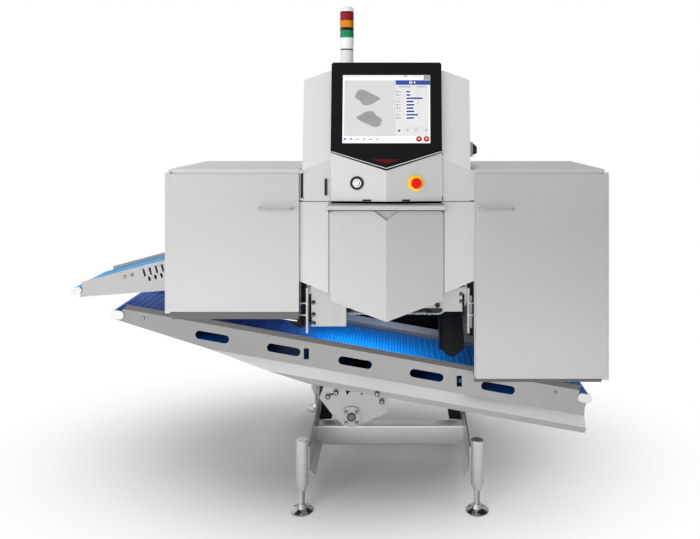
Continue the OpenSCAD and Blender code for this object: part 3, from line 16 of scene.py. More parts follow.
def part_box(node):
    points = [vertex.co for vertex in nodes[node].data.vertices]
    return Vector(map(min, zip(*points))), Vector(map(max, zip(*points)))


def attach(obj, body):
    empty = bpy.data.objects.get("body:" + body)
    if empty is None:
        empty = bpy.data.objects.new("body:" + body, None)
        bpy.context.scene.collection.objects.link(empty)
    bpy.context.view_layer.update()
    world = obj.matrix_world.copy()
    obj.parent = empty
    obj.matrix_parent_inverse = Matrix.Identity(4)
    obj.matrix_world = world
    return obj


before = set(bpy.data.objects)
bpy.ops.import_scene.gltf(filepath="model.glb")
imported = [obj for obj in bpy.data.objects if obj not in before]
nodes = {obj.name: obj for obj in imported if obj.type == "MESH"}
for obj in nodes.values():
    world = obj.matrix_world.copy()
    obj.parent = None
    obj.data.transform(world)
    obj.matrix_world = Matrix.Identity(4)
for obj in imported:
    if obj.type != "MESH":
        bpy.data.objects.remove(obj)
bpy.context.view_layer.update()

# %% [markdown]
# Node trees read best as plain sums. A small class wraps one socket and turns + - *
# into Math nodes, and a maker adds any other node to its tree, its settings first,
# because some of them change which sockets the node has. A finish is a maker for one
# material, which it puts on the model's pieces that wear it.

# %% Makers for node trees and finishes
class Signal:
    def __init__(self, maker, socket):
        self.maker, self.socket = maker, socket

    def math(self, kind, a, b=0):
        return self.maker.add("ShaderNodeMath", [a, b], operation=kind)

    def __add__(self, b): return self.math("ADD", self, b)
    def __radd__(self, b): return self.math("ADD", b, self)
    def __sub__(self, b): return self.math("SUBTRACT", self, b)
    def __rsub__(self, b): return self.math("SUBTRACT", b, self)
    def __mul__(self, b): return self.math("MULTIPLY", self, b)
    def above(self, b): return self.math("GREATER_THAN", self, b)
    def below(self, b): return self.math("LESS_THAN", self, b)
    def most(self, b): return self.math("MAXIMUM", self, b)
    def angle(self, b): return self.math("ARCTAN2", self, b)
    def size(self): return self.math("ABSOLUTE", self)
    def root(self): return self.math("SQRT", self)
    def wave(self, count): return self.math("SINE", self * count)

    def ramp(self, low, high, kind="LINEAR"):
        """0 up to low and 1 from high on."""
        return self.maker.add("ShaderNodeMapRange", {"Value": self, "From Min": low, "From Max": high},
                              interpolation_type=kind)


class Maker:
    def __init__(self, tree):
        self.tree = tree

    def feed(self, node, sockets):
        for name, value in sockets.items():
            if isinstance(value, Signal):
                self.tree.links.new(value.socket, node.inputs[name])
            else:
                node.inputs[name].default_value = value

    def add(self, kind, sockets=(), out=0, **settings):
        node = self.tree.nodes.new(kind)
        for name, value in settings.items():
            setattr(node, name, value)
        self.feed(node, sockets if isinstance(sockets, dict) else dict(enumerate(sockets)))
        return Signal(self, node.outputs[out])

    def axes(self, place=None):
        parts = self.tree.nodes.new("ShaderNodeSeparateXYZ")
        self.feed(parts, {0: place or self.place})
        return [Signal(self, out) for out in parts.outputs]


class Finish(Maker):
    def __init__(self, name, worn_by=""):
        self.material = bpy.data.materials.new(name)
        self.material.use_nodes = True
        super().__init__(self.material.node_tree)
        self.shader = self.tree.nodes["Principled BSDF"]
        self.place = self.add("ShaderNodeTexCoord", out="Object")
        for node in worn_by.split():
            nodes[node].data.materials.clear()
            nodes[node].data.materials.append(self.material)
        print("finish", name, "for", worn_by or "what is added")

    def put(self, **sockets):
        self.feed(self.shader, {name.replace("_", " "): value for name, value in sockets.items()})

    def centred(self, point):
        return self.axes(self.add("ShaderNodeMapping", {"Vector": self.place, "Location": point},
                                  vector_type="TEXTURE"))

    def upward(self):
        """How far the surface faces up, from -1 to 1."""
        return self.axes(self.add("ShaderNodeNewGeometry", out="True Normal"))[2]

    def noise(self, scale, detail, stretch=None):
        where = self.place
        if stretch:
            where = self.add("ShaderNodeMapping", {"Vector": where, "Scale": stretch})
        return self.add("ShaderNodeTexNoise", {"Vector": where, "Scale": scale, "Detail": detail})

    def mix(self, share, a, b):
        return self.add("ShaderNodeMix", {0: share, 6: a, 7: b}, 2, data_type="RGBA")

    def bump(self, height, depth, strength):
        return self.add("ShaderNodeBump", {"Height": height, "Distance": depth, "Strength": strength})


def linked(name, data):
    made = bpy.data.objects.new(name, data)
    bpy.context.scene.collection.objects.link(made)
    return made


def tone(level, warm=0.0):
    """A plain grey of that photograph level, 0 to 255, as scene colour."""
    linear = (level / 255) ** 2.2
    return (linear * (1 + warm), linear, linear * (1 - warm), 1)


def scaled(color, share):
    """The colour at that share of its strength, opaque."""
    return tuple(min(1, c * share) for c in color[:3]) + (1,)


def pair(color, spread):
    """A colour's darker and lighter neighbour, for a finish that is not quite even."""
    return scaled(color, 1 - spread), scaled(color, 1 + spread)

# %% [markdown]
# The covers of such a machine are stainless sheet, blasted with glass beads. The
# finish is a dull, even grey with a fine grain, a little cloudy at arm's length and
# slightly smoother where hands and cloths go. Three noises do this: a coarse one
# for the clouds, a stretched one for wiping marks, and a fine one for the grain. A
# piece that is not one even grey gives a shade: a share for each place, and a colour.
# Several of these shades are painted light and painted shade.

# %% Stainless finishes
def stainless(worn_by, name, level, rough=0.34, metal=0.8, grain=1400, across=(1, 1, 1), marks=0.05,
              warm=0.0, shade=None):
    f = Finish(name, worn_by)
    clouds = f.noise(2.2, 4)
    wiped = f.noise(9, 5, (1, 1, 0.18))
    fine = f.noise(grain, 2, across)
    color = f.mix(clouds * 0.6 + wiped * 0.25 + fine * 0.15, *pair(tone(level, warm), marks))
    if shade:
        mask, deep = shade(f)
        color = f.mix(mask, color, deep)
    f.put(Base_Color=color, Metallic=metal, Roughness=rough - 0.05 + clouds * 0.06 + fine * 0.06,
          Normal=f.bump(fine, 0.00006, 0.5))
    return f.material


def dark_below(axis, node, reach, deep, share=1.0):
    """A shade for what lies less than reach past the node's lower side along that axis."""
    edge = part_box(node)[0][axis] + reach
    return lambda f: (f.axes()[axis].below(edge) * share, deep)


def rail_ends_painted_shade(f):
    """Painted shade: the rail's ears and its underside are painted dark where shade falls."""
    low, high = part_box("door_rail")
    x, y, z = f.axes()
    off_centre = (x - (low.x + high.x) / 2).size()
    ear = off_centre.above((high.x - low.x) / 2 - 0.0075) * z.below(low.z + 0.0085)
    under = z.below(low.z + 0.0145)
    return ear.most(under * 0.85), tone(36)


def long_plate_painted_light(f):
    """Painted light and shade: the web is painted darker towards its infeed end, the ledge that faces up
    gets a painted highlight, and the rim that faces down gets painted shade.
    """
    facing = f.upward()
    web = f.mix(f.axes()[0].ramp(-0.5, 0.6, "SMOOTHSTEP"), tone(150, 0.02), tone(172, 0.02))
    with_ledge = f.mix(facing.ramp(0.2, 0.6), web, tone(244))
    return 0.85, f.mix(facing.ramp(-0.2, -0.4), with_ledge, tone(112, 0.02))


def cross_tube_painted_light(f):
    """Painted light and shade: the cross tubes are painted brighter towards their upper edge, with a
    painted highlight along it, and darker towards the floor.
    """
    low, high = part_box("cross_tubes")
    z = f.axes()[2]
    rise = f.mix(z.ramp(low.z, high.z, "SMOOTHSTEP"), tone(160), tone(214))
    return 0.8, f.mix(z.ramp(high.z - 0.012, high.z - 0.004), rise, tone(250))


def inner_plate_painted_shadow(f):
    """Painted shadow: the inner drive plate stays in the conveyor's shadow, so its colour is painted near
    black.
    """
    low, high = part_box("low_drive_plates")
    return f.axes()[1].above((low.y + high.y) / 2), tone(30)


LENGTHWISE, UPRIGHT = (0.05, 1, 1), (1, 1, 0.05)  # ways of the grain
CORNERS = ("front_left", "front_right", "rear_left", "rear_right")
# worn by, name, grey level, roughness, metal, grain, its way
turned = stainless("", "turned_steel", 214, 0.16, 1.0, 700, (1, 1, 0.06), marks=0.03)
stainless("head_shell lower_shoulders control_panel rear_door", "bead_blasted_steel", 214)
# Painted shade: the hood doors and the lower door are darker copies of the blasted steel.
stainless("hood_door_left hood_door_right", "bead_blasted_door", 199)
stainless("guard_plates", "guard_steel", 192)
stainless("lower_door", "lower_door_steel", 197)
stainless("service_hatch", "hatch_steel", 214, shade=dark_below(1, "service_hatch", 0.0105, tone(52)))
# Painted shadow: the front wall of the cabinet, which lies in shade, is painted near black.
stainless("cabinet_shell", "cabinet_steel", 214,
          shade=dark_below(1, "cabinet_shell", 0.002, (0.006, 0.006, 0.007, 1)))
for side in ("left", "right"):
    stainless("hood_" + side, "hood_steel_" + side, 214,
              shade=dark_below(2, "hood_door_" + side, -0.0005, tone(44), 0.8))
stainless("feed_side_plates outfeed_slide", "conveyor_sheet_steel", 184, 0.36, warm=0.02)
stainless("low_front_plate low_rear_plate", "long_plate_steel", 170, 0.36, warm=0.02, shade=long_plate_painted_light)
stainless("low_drive_plates", "drive_plate_steel", 178, 0.36, warm=0.01, shade=inner_plate_painted_shadow)
stainless("curtain_rods hood_hinges", "ground_steel", 202, 0.30, 0.55, 500, LENGTHWISE)
stainless("cross_tubes", "tube_steel", 200, 0.30, 0.55, 500, LENGTHWISE, shade=cross_tube_painted_light)
stainless("side_frames", "frame_steel", 176, 0.28, 0.6, 500, LENGTHWISE)
stainless("leg_tubes", "leg_steel", 218, 0.24, 0.85, 700, UPRIGHT, marks=0.03)
stainless("low_bearings", "cast_bearing_steel", 172, 0.42, 0.7, 300, marks=0.12)
stainless(" ".join("foot_" + corner for corner in CORNERS), "foot_steel", 196, 0.14, 1.0, 700, marks=0.10)
stainless("handle_left handle_right", "handle_steel", 190, 0.2, 1.0, 700, marks=0.04)
stainless("low_drive_shaft", "shaft_steel", 120, 0.22, 1.0, 700, marks=0.06)
stainless("door_rail", "rail_steel", 200, 0.24, shade=rail_ends_painted_shade)
stainless("detector_box", "milled_aluminium", 205, 0.34, 0.9, 400, (0.1, 1, 1))
stainless("key_plug", "lock_steel", 244, 0.3, 0.4, 700, marks=0.02)
# Polished steel for the trims, and for the painted highlights round the slots.
bright_trim_and_highlight = stainless("", "trim_polished_steel", 222, 0.2, 0.9, 300)

# %% [markdown]
# Coated and moulded pieces have hardly any metal in them. A coat has a faint
# orange-peel surface, and a moulded piece a fine matt grain. Gloss is nearly flat.

# %% Coats, plastics and rubber
def coated(worn_by, name, color, rough, peel=260, depth=0.00005, shine=0.5, metal=0.0):
    f = Finish(name, worn_by)
    fine = f.noise(peel, 2)
    f.put(Base_Color=f.mix(f.noise(6, 3), *pair(color, 0.08)), Roughness=rough - 0.04 + fine * 0.08,
          Normal=f.bump(fine, depth, 0.4), Specular_IOR_Level=shine, Metallic=metal)
    return f.material


GLOSS = dict(peel=20, depth=0.00001)
# The posts under the cabinet are near black.
coated("frame_posts", "post_black_coat", (0.012, 0.012, 0.014), 0.42)
coated("low_gearmotor", "motor_grey_coat", tone(150), 0.38)
coated("xray_source collimator", "source_grey_coat", tone(120), 0.45)
coated("electrical_backplate", "zinc_yellow_plate", (0.62, 0.55, 0.36), 0.35, metal=0.8)
coated("nose_bars", "white_nose_plastic", tone(204), 0.42, 900)
coated("low_bed", "blue_wear_strip", (0.012, 0.045, 0.17), 0.4, 900)
coated("drop_spout", "black_spout_rubber", (0.008, 0.008, 0.009), 0.62, 700, shine=0.3)
coated("tunnel_curtain_left tunnel_curtain_right", "grey_curtain_rubber", (0.03, 0.03, 0.032), 0.66, 500)
coated("snub_roller_left snub_roller_right feed_drum", "roller_rubber", (0.014, 0.014, 0.016), 0.6, 600)
coated("display_bezel", "gloss_black_glass", (0.004, 0.004, 0.005), 0.16, **GLOSS, shine=0.1)
coated("status_window", "dark_red_window", (0.075, 0.002, 0.003), 0.12, **GLOSS, shine=0.15)
coated("screen_glass", "screen_glass_lit", tone(200), 0.12, **GLOSS)
coated("estop_plate", "stop_yellow_plastic", (0.92, 0.58, 0.008), 0.42, 900, shine=0.2)
coated("estop_button", "stop_red_plastic", (0.66, 0.004, 0.010), 0.30, 900, shine=0.2)
coated("isolator_base", "switch_light_grey", tone(205), 0.44, 900)
switch_black = coated("isolator_knob", "switch_black_plastic", (0.01, 0.01, 0.011), 0.36, 900)
# Black for the painted shade in the gaps between the covers, and for the door catches.
gap_shade_and_catch_black = coated("", "black_seal_rubber", (0.010, 0.010, 0.011), 0.55, 700, shine=0.15)
apron_rubber = coated("", "black_apron_rubber", (0.007, 0.007, 0.008), 0.58, 500, shine=0.15)
link_white = coated("", "pale_link_plastic", (0.60, 0.66, 0.72), 0.4, 700)

# %% [markdown]
# The belts are smooth plastic bands with ribs across them. The pale one carries the
# food through the head, the blue one takes it away. Their colour is uneven: cloudy,
# with painted shade in the grooves that a fine wave marks, and painted light that makes
# the blue belt paler from the middle of its run to its right end.
# The pale belt's underside is a knit of links; the blue belt's return run is darker.

# %% Belt finishes
SLOPE = radians(10.12)  # of the take-away conveyor
PLATE_X, PLATE_Z = 0.19175, 0.6123  # where its own axes start, in the shared frame
RIB_PITCH, LINK_LONG, LINK_WIDE = 0.0127, 0.0075, 0.0090
RETURN_RUN = PLATE_X * sin(SLOPE) + PLATE_Z * cos(SLOPE) - 0.062  # height square to the belt


def belting(worn_by, name, deep, pale, ribs, tilt=0.0, painted_light_span=None, knit_below=None):
    f = Finish(name, worn_by)
    x, y, z = f.axes()
    streaks = f.noise(30, 3, (1, 0.12, 1))
    fine = f.noise(900, 2)
    color = f.mix(f.noise(7, 4) * 0.55 + streaks * 0.45, deep, pale)
    # Painted light: the blue belt is painted paler over this span.
    if painted_light_span:
        start, end, lit_blue = painted_light_span
        color = f.mix(x.ramp(start, end, "SMOOTHSTEP") * 0.7, color, lit_blue)
    if knit_below:
        links = x.wave(tau / LINK_LONG) * 0.6 + y.wave(tau / LINK_WIDE) * 0.4
        knit = f.mix(links.above(-0.25), (0.03, 0.035, 0.04, 1), tone(205))
        color = f.mix(z.below(knit_below), color, knit)
    along = x * cos(tilt) - z * sin(tilt)
    # Painted shade darkens the grooves between the ribs.
    groove = along.wave(tau / RIB_PITCH).ramp(0.3, 0.9)
    color = f.mix(groove * ribs, color, (0.0, 0.03, 0.16, 1))
    if painted_light_span:
        depth = x * sin(tilt) + z * cos(tilt)
        color = f.mix(depth.below(RETURN_RUN), color, (0.001, 0.10, 0.46, 1))
        color = f.mix(f.upward().below(-0.3), color, (0.04, 0.05, 0.07, 1))
    f.put(Base_Color=color, Roughness=0.34 + fine * 0.1, Specular_IOR_Level=0.15,
          Normal=f.bump(fine, 0.00005, 0.4))


feed_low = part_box("feed_belt")[0]
belting("feed_belt", "pale_blue_belt", (0.016, 0.36, 0.92, 1), (0.08, 0.56, 1.0, 1), 0.25,
        knit_below=feed_low.z + 0.008)
belting("low_belt", "deep_blue_belt", (0.001, 0.08, 0.36, 1), (0.004, 0.20, 0.70, 1), 0.6, SLOPE,
        painted_light_span=(-0.40, 0.0, (0.008, 0.32, 1.0, 1)))

# %% [markdown]
# The lamp tower is a grey pole with a white foot, three ribbed lenses and a white
# cap. The ribs are upright flutes, so the lens finish counts the angle round the
# tower's axis and turns it into a wave that bends the surface. A lens gets painted
# shade at its sides, and at its top or foot the housing shows through.

# %% Lamp tower finishes
tower_low, tower_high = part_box("lamp_green")
tower_axis = ((tower_low.x + tower_high.x) / 2, (tower_low.y + tower_high.y) / 2, 0)
FLUTES = 36


def lens(node, name, color, top=0.0, foot=0.0, foot_color=(0.01, 0.006, 0.002, 1)):
    """A fluted lens; top and foot are the shares of its height where the housing shows through."""
    low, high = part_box(node)
    tall, wide = high.z - low.z, high.x - low.x
    f = Finish(name, node)
    x, y, z = f.centred(tower_axis)
    flutes = y.angle(x).wave(FLUTES)
    glow = f.noise(14, 2)
    rough_z = z + f.noise(300, 2) * 0.004
    body = f.mix(flutes * 0.25 + glow * 0.6 + 0.1, scaled(color, 0.62), scaled(color, 1))
    # Painted shade: each lens is darker towards its left and right sides.
    side = x.size().ramp(wide * 0.24, wide * 0.5, "SMOOTHSTEP")
    body = f.mix(side * 0.6, body, scaled(color, 0.25))
    if top:
        body = f.mix(rough_z.above(high.z - tall * top), body, (0.012, 0.003, 0.003, 1))
    if foot:
        body = f.mix(rough_z.below(low.z + tall * foot), body, foot_color)
    f.put(Base_Color=body, Roughness=0.2 + glow * 0.08, Specular_IOR_Level=0.25,
          Normal=f.bump(flutes, 0.0004, 0.5))


lens("lamp_green", "green_lens", (0.0, 0.33, 0.12), 0.08, 0.14, (0.55, 0.85, 0.65, 1))
lens("lamp_amber", "amber_lens", (0.90, 0.30, 0.004), foot=0.26)
lens("lamp_red", "red_lens", (0.34, 0.003, 0.008), top=0.10)
f = Finish("tower_grey_and_white", "signal_tower")
z = f.axes()[2]
cap_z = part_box("signal_tower")[1].z - 0.03
socket_z, line_z = tower_low.z - 0.045, tower_low.z - 0.052
white = z.above(cap_z) + z.above(socket_z) * z.below(tower_low.z)
line = z.above(line_z) * z.below(socket_z)
fine = f.noise(800, 2)
f.put(Base_Color=f.mix(line, f.mix(white, tone(222), tone(240)), (0.10, 0.05, 0.03, 1)),
      Roughness=0.34 + fine * 0.08, Normal=f.bump(fine, 0.00005, 0.3))

# %% [markdown]
# The key switch is a set of rings: black, white, black again, and a polished plug
# with its key slot. The rings are told apart by their distance from the axis.

# %% Key switch finish
key_low, key_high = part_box("key_ring")
f = Finish("key_switch_rings", "key_ring")
x, y, z = f.centred(tuple((key_low + key_high) / 2))
far = (x * x + z * z).root()
fine = f.noise(900, 2)
f.put(Base_Color=f.mix(far.above(0.0115) * far.below(0.0160), (0.008, 0.008, 0.009, 1), tone(226)),
      Roughness=0.28 + fine * 0.08, Normal=f.bump(fine, 0.00003, 0.3))

# %% [markdown]
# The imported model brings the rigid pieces. The rest is thin or small: the picture on
# the display, trim lines, seals, threads and screw heads. Each is built where the
# solid under it really is: a ray finds the point and the direction of the surface it
# meets. Most are lofts, closed skins over rings of points; a prism has two rings.

# %% Helpers that seat and build small pieces
trees = {}
AHEAD, BACKWARDS = -2.0, (0, 1, 0)  # rays from the operator's side start here and go this way


def surface(name, start, direction):
    if name not in trees:
        mesh = nodes[name].data
        trees[name] = BVHTree.FromPolygons([v.co.copy() for v in mesh.vertices],
                                           [tuple(p.vertices) for p in mesh.polygons])
    point, normal = trees[name].ray_cast(Vector(start), Vector(direction))[:2]
    if point is None:
        raise ValueError(f"nothing of {name} is met from {start}")
    return point, normal if normal.dot(Vector(direction)) < 0 else -normal


def front(name, x, z):
    return surface(name, (x, AHEAD, z), BACKWARDS)


def shown(name, mesh, materials, body="frame"):
    for material in materials:
        mesh.materials.append(material)
    mesh.validate()
    made = linked(name, mesh)
    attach(made, body)
    print(name, len(mesh.polygons), "faces")


def closed(bm, mesh):
    """Writes a mesh with all its faces outward and says if any edge is open."""
    bmesh.ops.recalc_face_normals(bm, faces=bm.faces)
    open_edges = sum(1 for edge in bm.edges if len(edge.link_faces) != 2)
    bm.to_mesh(mesh)
    bm.free()
    if open_edges:
        print(mesh.name, "has", open_edges, "open edges")
    return mesh


def lofted(name, parts, materials):
    """A piece from parts (rings, material index, whether the last ring meets the first)."""
    bm = bmesh.new()
    for rings, index, looped in parts:
        rows = [[bm.verts.new(point) for point in ring] for ring in rings]
        faces = [] if looped else [bm.faces.new(rows[0][::-1]), bm.faces.new(rows[-1])]
        for one, two in zip(rows, rows[1:] + rows[:1] if looped else rows[1:]):
            for i in range(len(one)):
                j = (i + 1) % len(one)
                faces.append(bm.faces.new([one[i], one[j], two[j], two[i]]))
        for face in faces:
            face.material_index = index
    shown(name, closed(bm, bpy.data.meshes.new(name)), materials)


def prism(outline, to_place, low, high, index=0):
    """A closed prism over a flat outline; to_place turns (a, b, height) into a point."""
    return [[to_place(a, b, h) for a, b in outline] for h in (low, high)], index, False


def oblong(a0, b0, a1, b1):
    return [(a0, b0), (a1, b0), (a1, b1), (a0, b1)]


def disc(a, b, r, count=24, squeeze=1.0):
    return [(a + r * cos(k * tau / count), b + squeeze * r * sin(k * tau / count))
            for k in range(count)]


def upright(y):
    """For prisms that face the operator: their outline is in x and z, their height runs back from y."""
    return lambda a, b, h: (a, y + h, b)

# %% [markdown]
# The display shows a plain working picture: a grey scan with a pair of shapes, a list of
# bars with coloured markers, a blue band, small blue icons and a pair of red keys.
# It is made as very thin closed tiles on the glass, one over the other, and each tile
# glows a little, as a lit display does. No words are drawn.

# %% Display picture
glass = [v.co for v in nodes["screen_glass"].data.vertices]
glass_low, glass_high = min(p.z for p in glass), max(p.z for p in glass)
foot = min((p for p in glass if p.z < glass_low + 0.01), key=lambda p: p.y)
crest = min((p for p in glass if p.z > glass_high - 0.01), key=lambda p: p.y)
glass_up = Vector((0, crest.y - foot.y, crest.z - foot.z))
glass_tall = glass_up.length
glass_up.normalize()
glass_out = Vector((0, -glass_up.z, glass_up.y))
glass_left, glass_right = min(p.x for p in glass), max(p.x for p in glass)
glass_wide = glass_right - glass_left
centre_x = (glass_left + glass_right) / 2
print("display", round(glass_wide, 4), "by", round(glass_tall, 4), "m")
GLOW, SCAN_LINES = 0.62, 3600.0
LAYER, TILE = 0.00012, 0.0001  # step from layer to layer, and a tile's thickness
ROUND = 1.28  # a round shape's share of the height over its share of the width


def on_glass(s, t, lift):
    """s runs from left to right and t from the top down, both as shares of the display."""
    corner = Vector((glass_left + s * glass_wide, foot.y, foot.z))
    return corner + glass_up * (1 - t) * glass_tall + glass_out * lift


def lit(name, color):
    f = Finish(name)
    rows = f.axes()[2].wave(SCAN_LINES)
    f.put(Base_Color=f.mix(rows * 0.06 + 0.5, scaled(color, 0.35), scaled(color, 0.3)),
          Roughness=0.16 + rows * 0.01, Emission_Color=scaled(color, 1), Emission_Strength=GLOW)
    return f.material


def scan_cloud():
    f = Finish("scan_shape_grey")
    f.put(Base_Color=(0.12, 0.12, 0.12, 1), Roughness=0.16, Emission_Strength=GLOW,
          Emission_Color=f.mix(f.noise(22, 4), tone(112), tone(176)))
    return f.material


lights = [lit(*look) for look in (
    ("display_white", tone(255)), ("display_scan_grey", tone(214)), ("display_list_grey", tone(226)),
    ("display_blue", (0.008, 0.045, 0.33)), ("display_red", (0.5, 0.008, 0.008)),
    ("marker_yellow", (0.9, 0.8, 0.02)), ("marker_green", (0.14, 0.5, 0.02)),
    ("marker_purple", (0.28, 0.02, 0.3)), ("marker_cyan", (0.25, 0.75, 0.8)),
    ("marker_orange", (0.75, 0.16, 0.01)), ("marker_grey", tone(150)),
    ("display_pale_blue", (0.03, 0.12, 0.55)))] + [scan_cloud()]
WHITE, SCAN, LIST, BLUE, RED, YELLOW, GREEN, PURPLE, CYAN, ORANGE, GREY, PALE, SHAPE = range(13)
boxes = [  # left, top, right, bottom, layer, colour
    (0.002, 0.003, 0.998, 0.997, 1, WHITE), (0.02, 0.078, 0.606, 0.9, 2, SCAN),
    (0.606, 0.145, 0.985, 0.895, 2, LIST), (0.606, 0.076, 0.998, 0.144, 2, BLUE),
    (0.02, 0.03, 0.915, 0.0325, 2, GREY), (0.926, 0.004, 0.996, 0.07, 2, GREY),
    (0.01, 0.012, 0.19, 0.024, 2, LIST), (0.7, 0.01, 0.74, 0.022, 2, PALE),
    (0.8, 0.012, 0.9, 0.023, 2, LIST), (0.61, 0.108, 0.745, 0.111, 3, PALE),
    (0.845, 0.108, 0.99, 0.111, 3, PALE), (0.642, 0.168, 0.775, 0.18, 3, GREY),
    (0.845, 0.168, 0.955, 0.18, 3, GREY), (0.69, 0.778, 0.98, 0.781, 3, GREY)]
boxes += [(s - 0.012, 0.8, s + 0.004, 0.822, 3, GREY) for s in (0.745, 0.84, 0.955)]
bars = [(0.042, RED), (0.044, BLUE), (0.186, YELLOW), (0.083, GREEN), (0.091, PURPLE), (0.083, RED),
        (0.091, CYAN), (0.131, ORANGE), (0.086, PURPLE)]
FIRST_ROW, ROW_STEP = 0.246, 0.0484
for row, (length, color) in enumerate(bars):
    t = FIRST_ROW + ROW_STEP * row
    boxes += [(0.722, t - 0.02, 0.734 + length, t + 0.02, 3, WHITE),
              (0.728, t - 0.013, 0.728 + length, t + 0.013, 4, BLUE),
              (0.617, t - 0.009, 0.631, t + 0.009, 3, color), (0.645, t - 0.006, 0.66, t + 0.006, 3, GREY),
              (0.855, t - 0.028, 0.868, t - 0.02, 3, GREY)]
tiles = [(oblong(*box), layer, color) for *box, layer, color in boxes]
tiles += [(disc(0.778, 0.109, 0.017, 24, ROUND), 3, WHITE), (disc(0.778, 0.109, 0.009, 24, ROUND), 4, BLUE),
          ([(0.815, 0.09), (0.838, 0.109), (0.815, 0.128)], 3, WHITE),
          (disc(0.645, 0.817, 0.016, 12, 1.1), 3, PURPLE)]
icons = {0.028: [(-.013, .012), (.013, .012), (.013, -.004), (0, -.018), (-.013, -.004)],
         0.101: [(-.012, .016), (-.004, .016), (-.004, .004), (.014, .004), (.014, -.004), (-.004, -.016),
                 (-.012, -.016)],
         0.173: [(-.016, .006), (.016, .006), (.016, -.006), (-.016, -.006)],
         0.249: [(-.016, .014), (-.006, .018), (.018, -.012), (.010, -.018)],
         0.322: [(-.014, .010), (.014, .010), (.010, -.006), (-.012, -.006)],
         0.397: [(-.012, .014), (.004, .014), (.014, -.018), (.002, -.010)]}
ICON_T = 0.941
tiles += [([(s + a, ICON_T + b) for a, b in icon], 2, BLUE) for s, icon in icons.items()]
for s in (0.871, 0.956):
    tiles += [(disc(s, 0.938, 0.033, 28, ROUND), 2, RED), (disc(s, 0.934, 0.01, 16, ROUND), 3, LIST)]
blobs = ([(0.139, 0.333), (0.156, 0.258), (0.177, 0.228), (0.211, 0.215), (0.253, 0.224), (0.321, 0.267),
          (0.388, 0.31), (0.436, 0.355), (0.397, 0.378), (0.354, 0.417), (0.316, 0.439), (0.27, 0.449),
          (0.228, 0.439), (0.209, 0.409), (0.198, 0.378), (0.169, 0.359)],
         [(0.152, 0.618), (0.203, 0.589), (0.228, 0.566), (0.262, 0.542), (0.312, 0.529), (0.354, 0.538),
          (0.371, 0.566), (0.388, 0.598), (0.439, 0.637), (0.449, 0.672), (0.439, 0.72), (0.418, 0.753),
          (0.38, 0.766), (0.338, 0.755), (0.287, 0.723), (0.219, 0.686), (0.181, 0.656)])
tiles += [(blob, 3, SHAPE) for blob in blobs]
lofted("display_picture", [prism(outline, on_glass, layer * LAYER, layer * LAYER + TILE, color)
                           for outline, layer, color in tiles], lights)

# %% [markdown]
# A thin bright trim follows the pointed lower edge of the black display frame. It is
# a flat bar on each side, seated on the frame's front by rays.

# %% Trim on the display frame
TRIM_HALF, TRIM_SINK, TRIM_PROUD = 0.0014, -0.0002, 0.0012
trim_line = ((0.2060, 1.3860), (0.1500, 1.3690), (0.1000, 1.3536), (0.0490, 1.3380), (0.0, 1.3232))


def on_bezel(x, z, lift):
    point, normal = front("display_bezel", x, z)
    return point + normal * lift


trims = []
for side in (-1, 1):
    trims.append(([[on_bezel(centre_x + side * a, b + up, lift)
                    for up, lift in ((-TRIM_HALF, TRIM_SINK), (-TRIM_HALF, TRIM_PROUD),
                                     (TRIM_HALF, TRIM_PROUD), (TRIM_HALF, TRIM_SINK))]
                   for a, b in trim_line[::side]], 0, False))
lofted("display_trim", trims, [bright_trim_and_highlight])

# %% [markdown]
# Geometry Nodes make what repeats. A tree is a little machine with named inputs for
# its sizes. A recipe holds the tree, sets the sizes by socket identifier on a
# modifier, and turns the evaluated result into one plain mesh, without a modifier.

# %% Recipes for node-built pieces
class Recipe(Maker):
    def __init__(self, name, **sizes):
        super().__init__(bpy.data.node_groups.new(name, "GeometryNodeTree"))
        face = self.tree.interface
        for way in ("OUTPUT", "INPUT"):
            face.new_socket("Geometry", in_out=way, socket_type="NodeSocketGeometry")
        self.keys = {}
        for label, value in sizes.items():
            kind = "NodeSocketInt" if isinstance(value, int) else "NodeSocketFloat"
            socket = face.new_socket(label, in_out="INPUT", socket_type=kind)
            socket.default_value = value
            self.keys[label] = socket.identifier
        self.inlet = self.tree.nodes.new("NodeGroupInput")
        self.seats = self.size(0)

    def size(self, label):
        return Signal(self, self.inlet.outputs[label])

    def joined(self, *parts):
        join = self.tree.nodes.new("GeometryNodeJoinGeometry")
        for part in parts:
            self.feed(join, {0: part})
        return Signal(self, join.outputs[0])

    def dressed(self, kind, material, sockets, lift=0.0):
        """A primitive in its material, raised by lift."""
        offset = self.add("ShaderNodeCombineXYZ", {"Z": lift})
        raised = self.add("GeometryNodeTransform",
                          {"Geometry": self.add(kind, sockets), "Translation": offset})
        return self.add("GeometryNodeSetMaterial", {"Geometry": raised, "Material": material})

    def seated(self, shape):
        """The shape on each seat, turned to the direction that is stored with the seat."""
        facing = self.add("GeometryNodeInputNamedAttribute", {"Name": "facing"}, data_type="FLOAT_VECTOR")
        turn = self.add("FunctionNodeAlignRotationToVector", {"Vector": facing}, axis="Z")
        return self.add("GeometryNodeInstanceOnPoints",
                        {"Points": self.seats, "Instance": shape, "Rotation": turn})

    def finish(self, geometry):
        outlet = self.tree.nodes.new("NodeGroupOutput")
        self.feed(outlet, {0: self.add("GeometryNodeRealizeInstances", {"Geometry": geometry})})

    def build(self, name, seed=None, place=Matrix(), **sizes):
        """Runs the tree on the seed mesh and gives one plain mesh."""
        carrier = linked(name + "_carrier", seed or bpy.data.meshes.new(name + "_seed"))
        modifier = carrier.modifiers.new(name, "NODES")
        modifier.node_group = self.tree
        for label, value in sizes.items():
            modifier[self.keys[label]] = value
        ready = carrier.evaluated_get(bpy.context.evaluated_depsgraph_get())
        mesh = bpy.data.meshes.new_from_object(ready)
        mesh.name = name
        mesh.transform(place)
        bpy.data.objects.remove(carrier)
        return mesh


